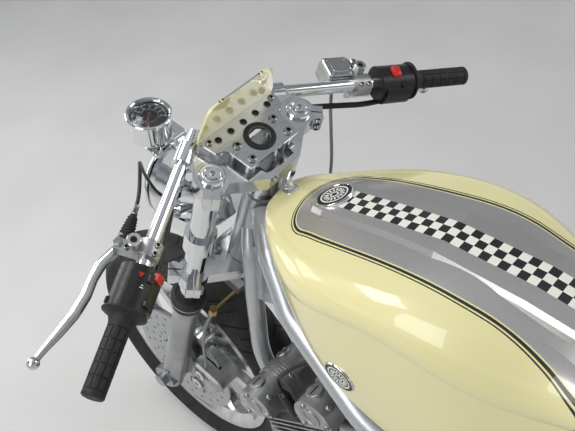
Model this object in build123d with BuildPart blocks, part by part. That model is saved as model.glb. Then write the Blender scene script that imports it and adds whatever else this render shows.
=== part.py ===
from build123d import *
from math import cos, radians, sin, tan
import os

# A cafe racer motorcycle, upright on its centre stand.
# +X is forward, +Y is the rider's left and +Z is up. The origin is on the
# floor, midway between the front of the front tyre and the back of the rear one.

# Driving dimensions, in millimetres and degrees
wheelbase = 1430
rake = 25
front_tyre_radius = 302
rear_tyre_radius = 320
rear_wheel_lift = 6
front_tyre_half_width = 55
rear_tyre_half_width = 64
front_rim_radius = 226
rear_rim_radius = 226
front_rim_half_width = 39
rear_rim_half_width = 48
running_gap = 0.3

# Front end, measured along and across the fork legs
leg_spacing = 200
leg_length = 774
axle_lead = 5
axle_radius = 10
yoke_offset = 32
stem_radius = 15
fork_tube_radius = 20.5
fork_cap_radius = 21
fork_cap_height = 14
slider_radius = 25
seal_radius = 31
seal_height = 34
seal_depth = 424
yoke_top = -6
yoke_thickness = 30
yoke_pocket = 13
lower_yoke_top = -297
clamp_wall = 8
headstock_top = -98
headstock_radius = 30
bearing_gap = 1.0
dash_height = 13
dash_thickness = 4
dash_hole_radius = 22
screen_thickness = 4
screen_height = 68

# Bars and controls, measured from the bar's outer end
bar_radius = 11
grip_length = 116
grip_radius = 16.5
grip_flange_radius = 33
pod_length = 66
perch_from_end = 219
lever_thickness = 9
brake_lever_drop = 50

# Frame and engine, drawn from a point that keeps its place below the fork's top
fork_top_x = 390.4
fork_top_z = 1017.4
main_tube_radius = 24
down_tube_radius = 17
rail_radius = 14
pivot_x = -190
pivot_z = 352
crank_x = 143
crank_z = 290
cylinder_lean = 30
head_half_width = 150
barrel_half_width = 128
case_half_width = 110

# Places worked out from the sizes above
front_axle_x = (wheelbase + rear_tyre_radius - front_tyre_radius) / 2
front_axle_z = front_tyre_radius
rear_axle_x = front_axle_x - wheelbase
rear_axle_z = rear_tyre_radius + rear_wheel_lift
leg_y = leg_spacing / 2
leg_axis = Vector(-sin(radians(rake)), 0, cos(radians(rake)))
leg_forward = Vector(cos(radians(rake)), 0, sin(radians(rake)))
front_axle_centre = Vector(front_axle_x, 0, front_axle_z)
fork_origin = front_axle_centre - leg_forward * axle_lead + leg_axis * leg_length
fork = Plane(origin=fork_origin, x_dir=leg_forward, z_dir=leg_axis)
datum_x = fork_origin.X - fork_top_x
datum_z = fork_origin.Z - fork_top_z
lean = radians(cylinder_lean)
cylinder = Plane(origin=(datum_x + crank_x, 0, datum_z + crank_z), x_dir=(cos(lean), 0, -sin(lean)),
                 z_dir=(sin(lean), 0, cos(lean)))

os.makedirs("parts", exist_ok=True)


def keep(piece, label):
    """Label a finished piece and write its file."""
    piece.label = label
    export_step(piece, f"parts/{label}.step")


def keep_both(left, label):
    """Write a left-hand piece and its mirror image as one node."""
    with BuildPart() as both:
        add(left)
        mirror(left, about=Plane.XZ)
    keep(both.part, label)


def keep_all(pieces, label):
    """Write several solids of one body as one node."""
    with BuildPart() as group:
        for piece in pieces:
            add(piece)
    keep(group.part, label)


def shifted(plane, x, y, z):
    """The same directions as a plane, with the origin moved to local x, y, z."""
    return Plane(origin=plane.from_local_coords((x, y, z)), x_dir=plane.x_dir, z_dir=plane.z_dir)


def sideways(plane):
    """The plane's x axis kept, and its y axis made the new z axis."""
    return Plane(origin=plane.origin, x_dir=plane.x_dir, z_dir=plane.y_dir)


def rolled(plane, degrees):
    """A plane turned about its own z axis, from x toward y."""
    turn = radians(degrees)
    return Plane(origin=plane.origin, x_dir=plane.x_dir * cos(turn) + plane.y_dir * sin(turn), z_dir=plane.z_dir)


def in_fork(x, y, z):
    """A point given ahead of, across and along the fork, in the bike's frame."""
    return fork.from_local_coords(Vector(x, y, z))


def place(x, y, z):
    """A point of the frame or engine, in the bike's frame."""
    return Vector(datum_x + x, y, datum_z + z)


def places(points):
    """A row of such points."""
    return [place(*point) for point in points]


def level(z):
    """A horizontal plane of the frame, at a height over its datum."""
    return Plane(origin=(datum_x, 0, datum_z + z))


def bent_tube(points, bends, radius):
    """A round bar carried along straight runs joined by tangent arcs."""
    with BuildPart() as bar:
        with BuildLine() as path:
            FilletPolyline(*points, radius=bends)
        with BuildSketch(Plane(origin=path.line @ 0, z_dir=path.line % 0)):
            Circle(radius)
        sweep()
    return bar.part


def cord_bends(points):
    """A radius for each corner: 0.45 of the shorter run over the tangent of half the turn."""
    bends = []
    for before, corner, after in zip(points, points[1:], points[2:]):
        first = corner - before
        second = after - corner
        half_turn = radians(first.get_angle(second)) / 2
        bends.append(0.45 * min(first.length, second.length) / tan(half_turn))
    return bends


def round_bar(start, end, radius):
    """A straight round bar between two points."""
    with BuildPart() as bar:
        with BuildSketch(Plane(origin=start, z_dir=end - start)):
            Circle(radius)
        extrude(amount=(end - start).length)
    return bar.part


def turned(profile, plane):
    """A turned solid: radius and height pairs revolved about a plane's z axis."""
    section = Plane(origin=plane.origin, x_dir=plane.x_dir, z_dir=plane.y_dir * -1)
    with BuildPart() as body:
        with BuildSketch(section):
            with BuildLine():
                Polyline(*profile, close=True)
            make_face()
        revolve(axis=Axis(plane.origin, plane.z_dir))
    return body.part


def across(x, y, z):
    """A plane at a point whose z axis is the rider's left."""
    return Plane(origin=(x, y, z), x_dir=(1, 0, 0), z_dir=(0, 1, 0))


def side_view(y):
    """The frame's side view at a distance to the left: x forward, y up and z to the right."""
    return Plane(origin=(datum_x, y, datum_z), x_dir=(1, 0, 0), z_dir=(0, -1, 0))


def engine_view(y):
    """The same, with x across the cylinders and y along them, from the crankshaft's centre."""
    return Plane(origin=place(crank_x, y, crank_z), x_dir=cylinder.x_dir, z_dir=(0, -1, 0))


# Wheels: a cast rim with its hub and spokes, and a tyre
rim_depth = 26
hub_radius = 38
flange_radius = 58
spoke_width = 26
spoke_thickness = 20
spoke_count = 7
front_hub_half = 42
rear_hub_half = 56
wheels = (
    # name, axle x, axle z, tyre radius, tyre half width, rim radius, rim half width, hub half width
    ("front", front_axle_x, front_axle_z, front_tyre_radius, front_tyre_half_width, front_rim_radius,
     front_rim_half_width, front_hub_half),
    ("rear", rear_axle_x, rear_axle_z, rear_tyre_radius, rear_tyre_half_width, rear_rim_radius,
     rear_rim_half_width, rear_hub_half),
)
for name, x, z, tyre_r, tyre_half, rim_r, rim_half, hub_half in wheels:
    wheel = across(x, 0, z)
    well = rim_r - rim_depth
    bead = rim_r - 9
    bore = axle_radius + running_gap
    with BuildPart() as rim:
        add(turned([(well - 6, -rim_half + 14), (bead - 8, -rim_half), (rim_r, -rim_half), (rim_r, -rim_half + 5),
                    (bead, -rim_half + 7), (well, -rim_half + 20), (well, rim_half - 20), (bead, rim_half - 7),
                    (rim_r, rim_half - 5), (rim_r, rim_half), (bead - 8, rim_half), (well - 6, rim_half - 14)], wheel))
        add(turned([(bore, -hub_half), (flange_radius, -hub_half), (flange_radius, -hub_half + 8),
                    (hub_radius, -hub_half + 12), (hub_radius, hub_half - 12), (flange_radius, hub_half - 8),
                    (flange_radius, hub_half), (bore, hub_half)], wheel))
        with BuildSketch(shifted(wheel, 0, 0, -spoke_thickness / 2)):
            with PolarLocations((hub_radius + well) / 2 - 3, spoke_count):
                Rectangle(well - hub_radius + 4, spoke_width)
        extrude(amount=spoke_thickness)
    keep(rim.part, f"{name}_rim")
    seat = rim_r + running_gap
    sidewall = tyre_r - (tyre_r - rim_r) * 0.45
    with BuildPart() as tyre:
        with BuildSketch(Plane(origin=wheel.origin, x_dir=wheel.x_dir, z_dir=wheel.y_dir * -1)):
            with BuildLine():
                Polyline((sidewall, tyre_half), (seat + 6, rim_half + 1), (seat, rim_half - 4),
                         (seat, -rim_half + 4), (seat + 6, -rim_half - 1), (sidewall, -tyre_half))
                ThreePointArc((sidewall, -tyre_half), (tyre_r, 0), (sidewall, tyre_half))
            make_face()
        revolve(axis=Axis(wheel.origin, wheel.z_dir))
    keep(tyre.part, f"{name}_tyre")

# Brake discs on the wheels, and the rear sprocket, each seated on a hub flange
disc_radius = 140
disc_thickness = 5
disc_inner = 52
disc_bore = 44
front_disc_y = 62
disc_lead = 4
front_disc_step = front_disc_y - front_hub_half
with BuildPart() as front_disc:
    add(turned([(disc_bore, -front_disc_step), (disc_inner, -front_disc_step), (disc_inner, -disc_lead),
                (disc_radius, -disc_lead), (disc_radius, disc_thickness - disc_lead),
                (disc_bore, disc_thickness - disc_lead)], across(front_axle_x, front_disc_y, front_axle_z)))
keep_both(front_disc.part, "front_discs")
rear_disc_y = -76
rear_disc_radius = 128
rear_disc_step = -rear_disc_y - rear_hub_half - running_gap
keep(turned([(disc_bore, 0), (rear_disc_radius, 0), (rear_disc_radius, disc_thickness), (disc_inner, disc_thickness),
             (disc_inner, rear_disc_step), (disc_bore, rear_disc_step)],
            across(rear_axle_x, rear_disc_y, rear_axle_z)), "rear_disc")
sprocket_y = 78
sprocket_radius = 92
sprocket_thickness = 8
sprocket_half = sprocket_thickness / 2
sprocket_step = sprocket_y - rear_hub_half - running_gap
keep(turned([(disc_bore, -sprocket_step), (disc_inner, -sprocket_step), (disc_inner, -sprocket_half),
             (sprocket_radius, -sprocket_half), (sprocket_radius, sprocket_half), (disc_bore, sprocket_half)],
            across(rear_axle_x, sprocket_y, rear_axle_z)), "rear_sprocket")

# Fork legs: caps with their hexagons, upper tubes, dust seals and sliders
left_leg = shifted(fork, 0, leg_y, 0)
cap = fork_cap_radius
cap_hex_radius = 11
with BuildPart() as fork_cap:
    add(turned([(0, -fork_cap_height), (cap - 3, -fork_cap_height), (cap, -fork_cap_height + 3), (cap, -2),
                (cap - 2, 0), (cap - 5, 0), (cap - 6, -1.5), (cap_hex_radius + 1, -1.5), (0, -1.5)], left_leg))
    with BuildSketch(shifted(left_leg, 0, 0, -2)):
        RegularPolygon(cap_hex_radius, 6)
    extrude(amount=6)
keep_both(fork_cap.part, "fork_caps")
with BuildPart() as fork_tube:
    with BuildSketch(shifted(left_leg, 0, 0, -seal_depth)):
        Circle(fork_tube_radius)
    extrude(amount=seal_depth - fork_cap_height)
keep_both(fork_tube.part, "fork_tubes")
tube_hole = fork_tube_radius + running_gap
keep_both(turned([(tube_hole, 0), (seal_radius, 0), (seal_radius, seal_height - 16), (seal_radius - 3, seal_height - 12),
                  (seal_radius, seal_height - 8), (seal_radius - 5, seal_height), (tube_hole, seal_height)],
                 shifted(left_leg, 0, 0, -seal_depth)), "dust_seals")

slider_foot = 30
axle_boss_radius = 28
caliper_x = -66
caliper_rise = 60
caliper_width = 62
caliper_height = 92
caliper_back = caliper_x + caliper_width / 2
leg_foot = shifted(left_leg, 0, 0, -leg_length)
with BuildPart() as slider:
    with BuildSketch(shifted(leg_foot, 0, 0, -slider_foot)):
        Circle(slider_radius)
    extrude(amount=leg_length - seal_depth + slider_foot)
    with BuildSketch(shifted(leg_foot, 0, 0, leg_length - seal_depth - 16)):
        Circle(slider_radius + 4)
    extrude(amount=16)
    with BuildSketch(sideways(shifted(leg_foot, axle_lead, -slider_radius, 0))):
        Circle(axle_boss_radius)
    extrude(amount=2 * slider_radius)
    with BuildSketch(sideways(shifted(leg_foot, 0, -26, 0))):
        with BuildLine():
            Polyline((-10, 0), (-10, -caliper_rise - 62), (caliper_back, -caliper_rise - 30),
                     (caliper_back, -caliper_rise + 30), close=True)
        make_face()
    extrude(amount=12)
    with BuildSketch(sideways(shifted(leg_foot, axle_lead, -60, 0))):
        Circle(axle_radius)
    extrude(amount=120, mode=Mode.SUBTRACT)
keep_both(slider.part, "fork_sliders")
axle_nut_radius = 15
axle_nut_width = 14
axle_half = leg_y + slider_radius + axle_nut_width
keep(turned([(0, -axle_half), (axle_nut_radius, -axle_half), (axle_nut_radius, -axle_half + axle_nut_width),
             (axle_radius, -axle_half + axle_nut_width), (axle_radius, axle_half - axle_nut_width),
             (axle_nut_radius, axle_half - axle_nut_width), (axle_nut_radius, axle_half), (0, axle_half)],
            across(front_axle_x, 0, front_axle_z)), "front_axle")

# Front brake calipers, straddling the discs behind the legs
caliper_half = 30
disc_slot = 2
wheel_clearance = 6
caliper_bridge = (-38, -30)
caliper_round = 14
caliper_centre = shifted(leg_foot, caliper_x, front_disc_y - leg_y - caliper_half, caliper_rise)
with BuildPart() as caliper:
    with BuildSketch(sideways(caliper_centre)):
        with GridLocations(caliper_width - 2 * caliper_round, caliper_height - 2 * caliper_round, 2, 2):
            Circle(caliper_round)
        with Locations(caliper_bridge):
            Circle(20)
        make_hull()
    extrude(amount=2 * caliper_half)
    chamfer(caliper.faces().sort_by(Axis.Y)[-1].edges(), length=5)
    with BuildSketch(sideways(caliper_centre)):
        with Locations((2, -22), (2, 22)):
            Circle(15)
    extrude(amount=2 * caliper_half + 4)
    with BuildSketch(across(front_axle_x, front_disc_y - disc_lead - disc_slot, front_axle_z)):
        Circle(disc_radius + 5)
    extrude(amount=disc_thickness + 2 * disc_slot, mode=Mode.SUBTRACT)
    with BuildSketch(across(front_axle_x, 0, front_axle_z)):
        Circle(flange_radius + wheel_clearance)
    extrude(amount=leg_y + caliper_half, mode=Mode.SUBTRACT)
keep_both(caliper.part, "front_calipers")

# Yokes and stem
clamp_radius = fork_tube_radius + clamp_wall
lug_bore = 3.2
stem = shifted(fork, -yoke_offset, 0, 0)


def yoke(top):
    """A yoke: two split fork clamps with pinch lugs, joined by a web, with the tubes' holes."""
    with BuildPart() as body:
        with BuildSketch(shifted(fork, 0, 0, top - yoke_thickness)):
            with Locations((0, leg_y), (0, -leg_y)):
                Circle(clamp_radius)
            with BuildLine():
                Polyline((12, leg_y), (-18, leg_y), (-yoke_offset - 30, 34), (-yoke_offset - 30, -34),
                         (-18, -leg_y), (12, -leg_y), (18, -60), (18, 60), close=True)
            make_face()
            for side in (1, -1):
                with Locations(Location((-0.75 * clamp_radius, side * (leg_y + 0.75 * clamp_radius), 0), (0, 0, -45 * side))):
                    Rectangle(22, 26)
            with Locations((0, leg_y), (0, -leg_y)):
                Circle(fork_tube_radius, mode=Mode.SUBTRACT)
            for side in (1, -1):
                with Locations(Location((-24, side * (leg_y + 24), 0), (0, 0, -45 * side))):
                    Rectangle(40, 2, mode=Mode.SUBTRACT)
        extrude(amount=yoke_thickness)
    return body.part


with BuildPart() as lower_yoke:
    add(yoke(lower_yoke_top))
    with BuildSketch(shifted(stem, 0, 0, lower_yoke_top)):
        Circle(stem_radius)
    extrude(amount=-66 - lower_yoke_top)
keep(lower_yoke.part, "lower_yoke")
collar_radius = 27
stem_recess_radius = 22
stem_recess_z = -52
stem_top = -66
with BuildPart() as top_yoke:
    add(yoke(yoke_top))
    with BuildSketch(shifted(fork, 0, 0, yoke_top - yoke_pocket)):
        with BuildLine():
            Polyline((30, 54), (-yoke_offset - 20, 30), (-yoke_offset - 20, -30), (30, -54), close=True)
        make_face()
    extrude(amount=yoke_pocket, mode=Mode.SUBTRACT)
    with BuildSketch(shifted(fork, 0, 0, -fork_cap_height)):
        with Locations((0, leg_y), (0, -leg_y)):
            Circle(fork_cap_radius)
    extrude(amount=fork_cap_height, mode=Mode.SUBTRACT)
    with BuildSketch(shifted(stem, 0, 0, headstock_top + bearing_gap)):
        Circle(collar_radius)
    extrude(amount=yoke_top - yoke_thickness - headstock_top - bearing_gap)
    with BuildSketch(shifted(stem, 0, 0, headstock_top)):
        Circle(stem_radius)
    extrude(amount=stem_top - headstock_top, mode=Mode.SUBTRACT)
    with BuildSketch(shifted(stem, 0, 0, stem_recess_z)):
        Circle(stem_recess_radius)
    extrude(amount=60, mode=Mode.SUBTRACT)
keep(top_yoke.part, "top_yoke")

# Dash plate on four posts over the top yoke, and the flyscreen at its front
plate_bolts = ((7, 41), (7, -41), (-25, 41), (-25, -41))
lamp_holes = ((33, -55.6), (33, -27.8), (33, 0), (33, 27.8), (33, 55.6))
lamp_hole_radius = 5.5
post_radius = 8
screen_x = 48
with BuildPart() as dash_plate:
    with BuildSketch(shifted(fork, 0, 0, dash_height - dash_thickness)):
        with BuildLine():
            Polyline((screen_x, 82), (43, 81), (18, 76), (13, 63), (6, 58), (-4, 57), (-36, 54), (-36, -54), (-4, -57),
                     (6, -58), (13, -63), (18, -76), (43, -81), (screen_x, -82), close=True)
        make_face()
        with Locations((-2.4, 0)):
            Circle(dash_hole_radius, mode=Mode.SUBTRACT)
        with Locations(*lamp_holes):
            Circle(lamp_hole_radius, mode=Mode.SUBTRACT)
    extrude(amount=dash_thickness)
    with BuildSketch(shifted(fork, 0, 0, yoke_top - yoke_pocket)):
        with Locations(*plate_bolts):
            Circle(post_radius)
    extrude(amount=dash_height - dash_thickness - yoke_top + yoke_pocket)
    add(top_yoke.part, mode=Mode.SUBTRACT)
keep(dash_plate.part, "dash_plate")
with BuildPart() as flyscreen:
    with BuildSketch(Plane(origin=in_fork(screen_x, 0, dash_height), x_dir=(0, 1, 0), z_dir=leg_forward)):
        with BuildLine():
            Polyline((-82, -6), (-84, 8), (-68, screen_height), (68, screen_height), (84, 8), (82, -6), close=True)
        make_face()
        fillet(vertices().group_by(Axis.Y)[-1], 22)
    extrude(amount=screen_thickness)
keep(flyscreen.part, "flyscreen")

# Clip-on bars: a socket on a block that is bolted to the front of the top yoke's clamp
bar_inner = in_fork(77.4, 60, -8.7)
bar_outer = in_fork(-122.6, 440, -55.6)
bar_direction = (bar_outer - bar_inner).normalized()
bar_forward = (leg_forward - bar_direction * leg_forward.dot(bar_direction)).normalized()
bar_end = Plane(origin=bar_outer, x_dir=bar_forward, z_dir=bar_direction)
socket_from_end = 388
socket_length = 36
with BuildPart() as handlebar:
    add(round_bar(bar_inner, bar_outer, bar_radius))
    with BuildSketch(shifted(bar_end, 0, 0, -socket_from_end - socket_length / 2)):
        Circle(bar_radius + 6)
    extrude(amount=socket_length)
    with BuildSketch(shifted(fork, 0, 0, yoke_top - yoke_thickness)):
        with BuildLine():
            Polyline((14, 84), (14, 116), (42, 116), (60, 96), (60, 84), close=True)
        make_face()
    extrude(amount=yoke_thickness)
    with BuildSketch(shifted(left_leg, 0, 0, yoke_top - yoke_thickness - 1)):
        Circle(clamp_radius + running_gap)
    extrude(amount=yoke_thickness + 22, mode=Mode.SUBTRACT)
keep_both(handlebar.part, "handlebars")
bar_hole = bar_radius + running_gap
grip_start = -grip_length
flange_thickness = 5
keep_both(turned([(bar_hole, grip_start - flange_thickness), (grip_flange_radius, grip_start - flange_thickness),
                  (grip_flange_radius, grip_start), (grip_radius, grip_start), (grip_radius, -2), (grip_radius - 4, 3),
                  (0, 3), (0, running_gap), (bar_hole, running_gap)], bar_end), "grips")

# Switch pod on the left and throttle housing on the right
pod_start = grip_start - flange_thickness - running_gap - pod_length
with BuildPart() as pod:
    with BuildSketch(shifted(bar_end, 0, 0, pod_start)):
        RectangleRounded(58, 54, 24)
        Circle(bar_hole, mode=Mode.SUBTRACT)
    extrude(amount=pod_length)
    with BuildSketch(shifted(bar_end, -6, 6, pod_start + 8)):
        RectangleRounded(54, 50, 20)
        Circle(bar_hole + 9, mode=Mode.SUBTRACT)
    extrude(amount=pod_length - 16)
keep_both(pod.part, "bar_housings")

# Lever perches with the mirror bosses, and the levers in front of the grips
perch_length = 26
perch = shifted(bar_end, 0, 0, -perch_from_end - perch_length / 2)
lever_gap = 0.5
mirror_thread_radius = 5
mirror_thread_depth = 18
boss_height = 20


def perch_body(plane):
    """A clamp round the bar with the slab that holds the lever."""
    with BuildPart() as body:
        with BuildSketch(plane):
            Circle(bar_radius + 8)
            with Locations((26, 0)):
                Rectangle(44, 20)
            Circle(bar_hole, mode=Mode.SUBTRACT)
        extrude(amount=perch_length)
    return body.part


mirror_boss = Plane(origin=perch.from_local_coords((20, -8, perch_length / 2)), x_dir=perch.x_dir, z_dir=perch.y_dir * -1)


def with_boss(body):
    """The perch with its threaded mirror boss on top."""
    with BuildPart() as whole:
        add(body)
        with BuildSketch(mirror_boss):
            Circle(10)
        extrude(amount=boss_height)
        with BuildSketch(shifted(mirror_boss, 0, 0, boss_height - mirror_thread_depth)):
            Circle(mirror_thread_radius)
        extrude(amount=mirror_thread_depth, mode=Mode.SUBTRACT)
    return whole.part


clutch_perch = with_boss(perch_body(perch))
lever_outline = ((38, 222), (52, 222), (60, 190), (66, 156), (76, 118), (97, 24), (88, 22), (64, 118), (52, 156), (42, 190))
ball_radius = 9


def hand_lever(plane):
    """A lever with its ball end, drawn ahead of a bar and along it from the outer end."""
    with BuildPart() as body:
        with BuildSketch(shifted(plane, 0, 0, 10 + lever_gap)):
            with BuildLine():
                Polyline(*lever_outline, close=True)
            make_face()
        extrude(amount=lever_thickness)
        with Locations(plane.from_local_coords((94, 23, 10 + lever_gap + lever_thickness / 2))):
            Sphere(ball_radius)
    return body.part


brake_end = rolled(bar_end, brake_lever_drop)
clutch_lever = hand_lever(sideways(bar_end))
with BuildPart() as brake_lever:
    mirror(hand_lever(sideways(brake_end)), about=Plane.XZ)
keep_all((clutch_lever, brake_lever.part), "hand_levers")
reservoir_length = 56
with BuildPart() as master_cylinder:
    mirror(with_boss(perch_body(rolled(perch, brake_lever_drop))), about=Plane.XZ)
    right_perch = Plane(origin=(perch.origin.X, -perch.origin.Y, perch.origin.Z), x_dir=(bar_forward.X, -bar_forward.Y,
                        bar_forward.Z), z_dir=(-bar_direction.X, bar_direction.Y, -bar_direction.Z))
    with BuildSketch(shifted(right_perch, 36, 9, -14)):
        RectangleRounded(46, 32, 5)
    extrude(amount=reservoir_length)
keep_all((clutch_perch, master_cylinder.part), "lever_perches")

# Headlight on two brackets round the fork tubes, and the speedometer on a strip above it
lamp_radius = 82
lamp_rim_depth = 6
lamp_depth = 126
lamp_bolt_y = 92
lamp_bolt_back = 60
lamp_bolt_radius = 11
lamp_ahead = 226
lamp_drop = 169.5
bracket_thickness = 5
bracket_ring_wall = 7
bracket_ring_height = 44
lamp_face = Plane(origin=fork_origin + Vector(lamp_ahead, 0, -lamp_drop), x_dir=(0, 0, 1), z_dir=(1, 0, 0))
with BuildPart() as headlight:
    add(turned([(0, -lamp_depth), (34, -lamp_depth + 5), (58, -lamp_depth + 28), (lamp_radius - 8, -74),
                (lamp_radius - 2, -30), (lamp_radius, -12), (lamp_radius, 0), (lamp_radius - 6, lamp_rim_depth),
                (0, lamp_rim_depth)], lamp_face))
    with BuildSketch(across(lamp_face.origin.X - lamp_bolt_back, -lamp_bolt_y, lamp_face.origin.Z)):
        Circle(lamp_bolt_radius)
    extrude(amount=2 * lamp_bolt_y)
keep(headlight.part, "headlight")
bracket_drop = lamp_drop / cos(radians(rake))
bracket_ring = shifted(left_leg, 0, 0, -bracket_drop - bracket_ring_height / 2)
bolt_x = lamp_face.origin.X - lamp_bolt_back
with BuildPart() as lamp_bracket:
    with BuildSketch(across(0, lamp_bolt_y + running_gap, lamp_face.origin.Z)):
        with BuildLine():
            Polyline((bracket_ring.origin.X + 6, 22), (bracket_ring.origin.X - 12, -22), (bolt_x + 8, -13), (bolt_x + 14, 0),
                     (bolt_x + 8, 13), close=True)
        make_face()
    extrude(amount=bracket_thickness)
    with BuildSketch(bracket_ring):
        Circle(fork_tube_radius + bracket_ring_wall)
    extrude(amount=bracket_ring_height)
    with BuildSketch(shifted(bracket_ring, 0, 0, -bracket_ring_height)):
        Circle(fork_tube_radius)
    extrude(amount=3 * bracket_ring_height, mode=Mode.SUBTRACT)
keep_both(lamp_bracket.part, "lamp_brackets")
lens_edge = lamp_radius - 8
keep(turned([(0, lamp_rim_depth + running_gap), (lens_edge, lamp_rim_depth + running_gap), (lens_edge - 6, 14), (40, 22), (0, 25)],
            lamp_face), "headlight_lens")
speedo_radius = 39
speedo_depth = 52
speedo_tilt = radians(14)
speedo_y = 35
speedo = Plane(origin=fork_origin + Vector(222.5, speedo_y, -5.5), x_dir=(cos(speedo_tilt), 0, sin(speedo_tilt)),
               z_dir=(-sin(speedo_tilt), 0, cos(speedo_tilt)))
strip_thickness = 4
with BuildPart() as speedometer:
    add(turned([(0, -speedo_depth), (30, -speedo_depth), (37, -speedo_depth + 8), (37, -8), (speedo_radius, -6),
                (speedo_radius, 0), (speedo_radius - 4, 2), (speedo_radius - 6, -6), (0, -6)], speedo))
    with BuildSketch(shifted(speedo, 0, 0, -speedo_depth - strip_thickness)):
        with Locations((-12, -12)):
            RectangleRounded(44, 80, 8)
    extrude(amount=strip_thickness + 0.5)
    with BuildSketch(shifted(speedo, -30, -34, -speedo_depth - 44)):
        RectangleRounded(20, 26, 4)
    extrude(amount=44)
    add(headlight.part, mode=Mode.SUBTRACT)
keep(speedometer.part, "speedometer")

# Control cables and the front brake's hoses, clear of the tank at full lock
cable_radius = 3
loom_radius = 5
hose_radius = 3.2
line_radius = 2.5
crossover_x = -45
crossover_y = 75
crossover_z = -432
clutch_route = [bar_end.from_local_coords((38, 0, -225)), bar_end.from_local_coords((40, 0, -292)), in_fork(90, 160, -26),
                in_fork(124, 128, -70), in_fork(130, 108, -132), in_fork(112, 90, -190), in_fork(88, 56, -226)]
loom_route = [bar_end.from_local_coords((-14, 26, -150)), bar_end.from_local_coords((-16, 34, -205)),
              bar_end.from_local_coords((-10, 36, -262)), in_fork(34, 142, -66), in_fork(72, 112, -112), in_fork(92, 84, -172),
              in_fork(84, 52, -214)]
brake_route = [in_fork(12, -214, -44), in_fork(0, -208, -76), in_fork(-22, -200, -122), in_fork(-46, -192, -172),
               in_fork(-66, -180, -226), in_fork(-70, -156, -280), in_fork(-64, -124, -338), in_fork(-52, -94, -392),
               in_fork(crossover_x, -crossover_y, crossover_z)]
caliper_route = [in_fork(crossover_x, crossover_y, crossover_z), in_fork(crossover_x, 90, -476), in_fork(-52, 96, -530),
                 in_fork(-62, 92, -590), in_fork(-66, 84, -640), in_fork(-66, 84, -690)]
with BuildPart() as clutch_cable:
    add(bent_tube(clutch_route, cord_bends(clutch_route), cable_radius))
    add(clutch_perch, mode=Mode.SUBTRACT)
    add(headlight.part, mode=Mode.SUBTRACT)
with BuildPart() as left_loom:
    add(bent_tube(loom_route, cord_bends(loom_route), loom_radius))
    add(pod.part, mode=Mode.SUBTRACT)
    add(headlight.part, mode=Mode.SUBTRACT)
with BuildPart() as right_loom:
    mirror(left_loom.part, about=Plane.XZ)
keep_all((clutch_cable.part, left_loom.part, right_loom.part), "control_cables")
with BuildPart() as brake_hose:
    add(bent_tube(brake_route, cord_bends(brake_route), hose_radius))
    add(master_cylinder.part, mode=Mode.SUBTRACT)
    add(round_bar(in_fork(crossover_x, -crossover_y, crossover_z), in_fork(crossover_x, crossover_y, crossover_z), line_radius))
    for side in (1, -1):
        with BuildSketch(shifted(fork, crossover_x, side * crossover_y, crossover_z - 7)):
            RegularPolygon(8, 6)
        extrude(amount=14)
    with BuildSketch(shifted(fork, -28, 0, crossover_z - 12)):
        Rectangle(44, 18)
    extrude(amount=24)
    left_hose = bent_tube(caliper_route, cord_bends(caliper_route), hose_radius)
    add(left_hose)
    mirror(left_hose, about=Plane.XZ)
    add(caliper.part, mode=Mode.SUBTRACT)
    mirror(caliper.part, about=Plane.XZ, mode=Mode.SUBTRACT)
keep(brake_hose.part, "brake_hoses")
for cord_name, route in (("clutch", clutch_route), ("loom", loom_route), ("brake", brake_route), ("caliper", caliper_route)):
    print(cord_name, "bend radii", [round(bend) for bend in cord_bends(route)])

# Frame: headstock, two main tubes beside the tank, down tubes and cradle rails
headstock_length = headstock_top - lower_yoke_top - bearing_gap
headstock_foot = shifted(stem, 0, 0, headstock_top - headstock_length)
with BuildPart() as headstock:
    with BuildSketch(headstock_foot):
        Circle(headstock_radius)
        Circle(stem_radius + running_gap, mode=Mode.SUBTRACT)
    extrude(amount=headstock_length)
keep(headstock.part, "headstock")
pivot_y = 130
seam = 0.4
main_path = [in_fork(-yoke_offset - 25, 18, -116)] + places([(340, 62, 842), (279, 95, 768), (117, 132, 668), (-120, 132, 560),
                                                             (-172, pivot_y, 410)])
main_bends = [60, 90, 200, 90]
main_bar = bent_tube(main_path, main_bends, main_tube_radius)
with BuildPart() as main_tube:
    add(main_bar)
    with BuildSketch(headstock_foot):
        Circle(headstock_radius)
    extrude(amount=headstock_length, mode=Mode.SUBTRACT)
    split(bisect_by=Plane.XZ.offset(-seam / 2), keep=Keep.BOTTOM)
keep_both(main_tube.part, "main_tubes")
down_path = [in_fork(-yoke_offset - 6, 14, -189)] + places([(421, 40, 780), (424, 50, 700), (442, 54, 530), (397, 56, 410),
                                                            (380, 56, 330), (355, 58, 250)])
gusset_thickness = 6
gusset_gap = 2
gusset_low = place(424, 50, 690)
gusset_back = place(284, 92, 774)
gusset_top = place(356, 50, 856)
gusset_head = place(420, 36, 800)
gusset = Plane(origin=gusset_low, x_dir=gusset_back - gusset_low, z_dir=(gusset_back - gusset_low).cross(gusset_top - gusset_low))
with BuildPart() as down_tube:
    with BuildSketch(gusset):
        with BuildLine():
            Polyline(*[(corner.X, corner.Y) for corner in [gusset.to_local_coords(point) for point in
                       (gusset_low, gusset_back, gusset_top, gusset_head)]], close=True)
        make_face()
    extrude(amount=gusset_thickness / 2, both=True)
    for start, end in zip(main_path, main_path[1:3]):
        add(round_bar(start, end, main_tube_radius + gusset_gap), mode=Mode.SUBTRACT)
    add(bent_tube(down_path, [80, 200, 150, 200, 300], down_tube_radius))
    with BuildSketch(headstock_foot):
        Circle(headstock_radius)
    extrude(amount=headstock_length, mode=Mode.SUBTRACT)
    split(bisect_by=Plane.XZ.offset(-seam / 2), keep=Keep.BOTTOM)
keep_both(down_tube.part, "down_tubes")
rail_z = 165
cradle_front_x = 355
cradle_front_z = 250
cradle_slope = 25 / 80
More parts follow.
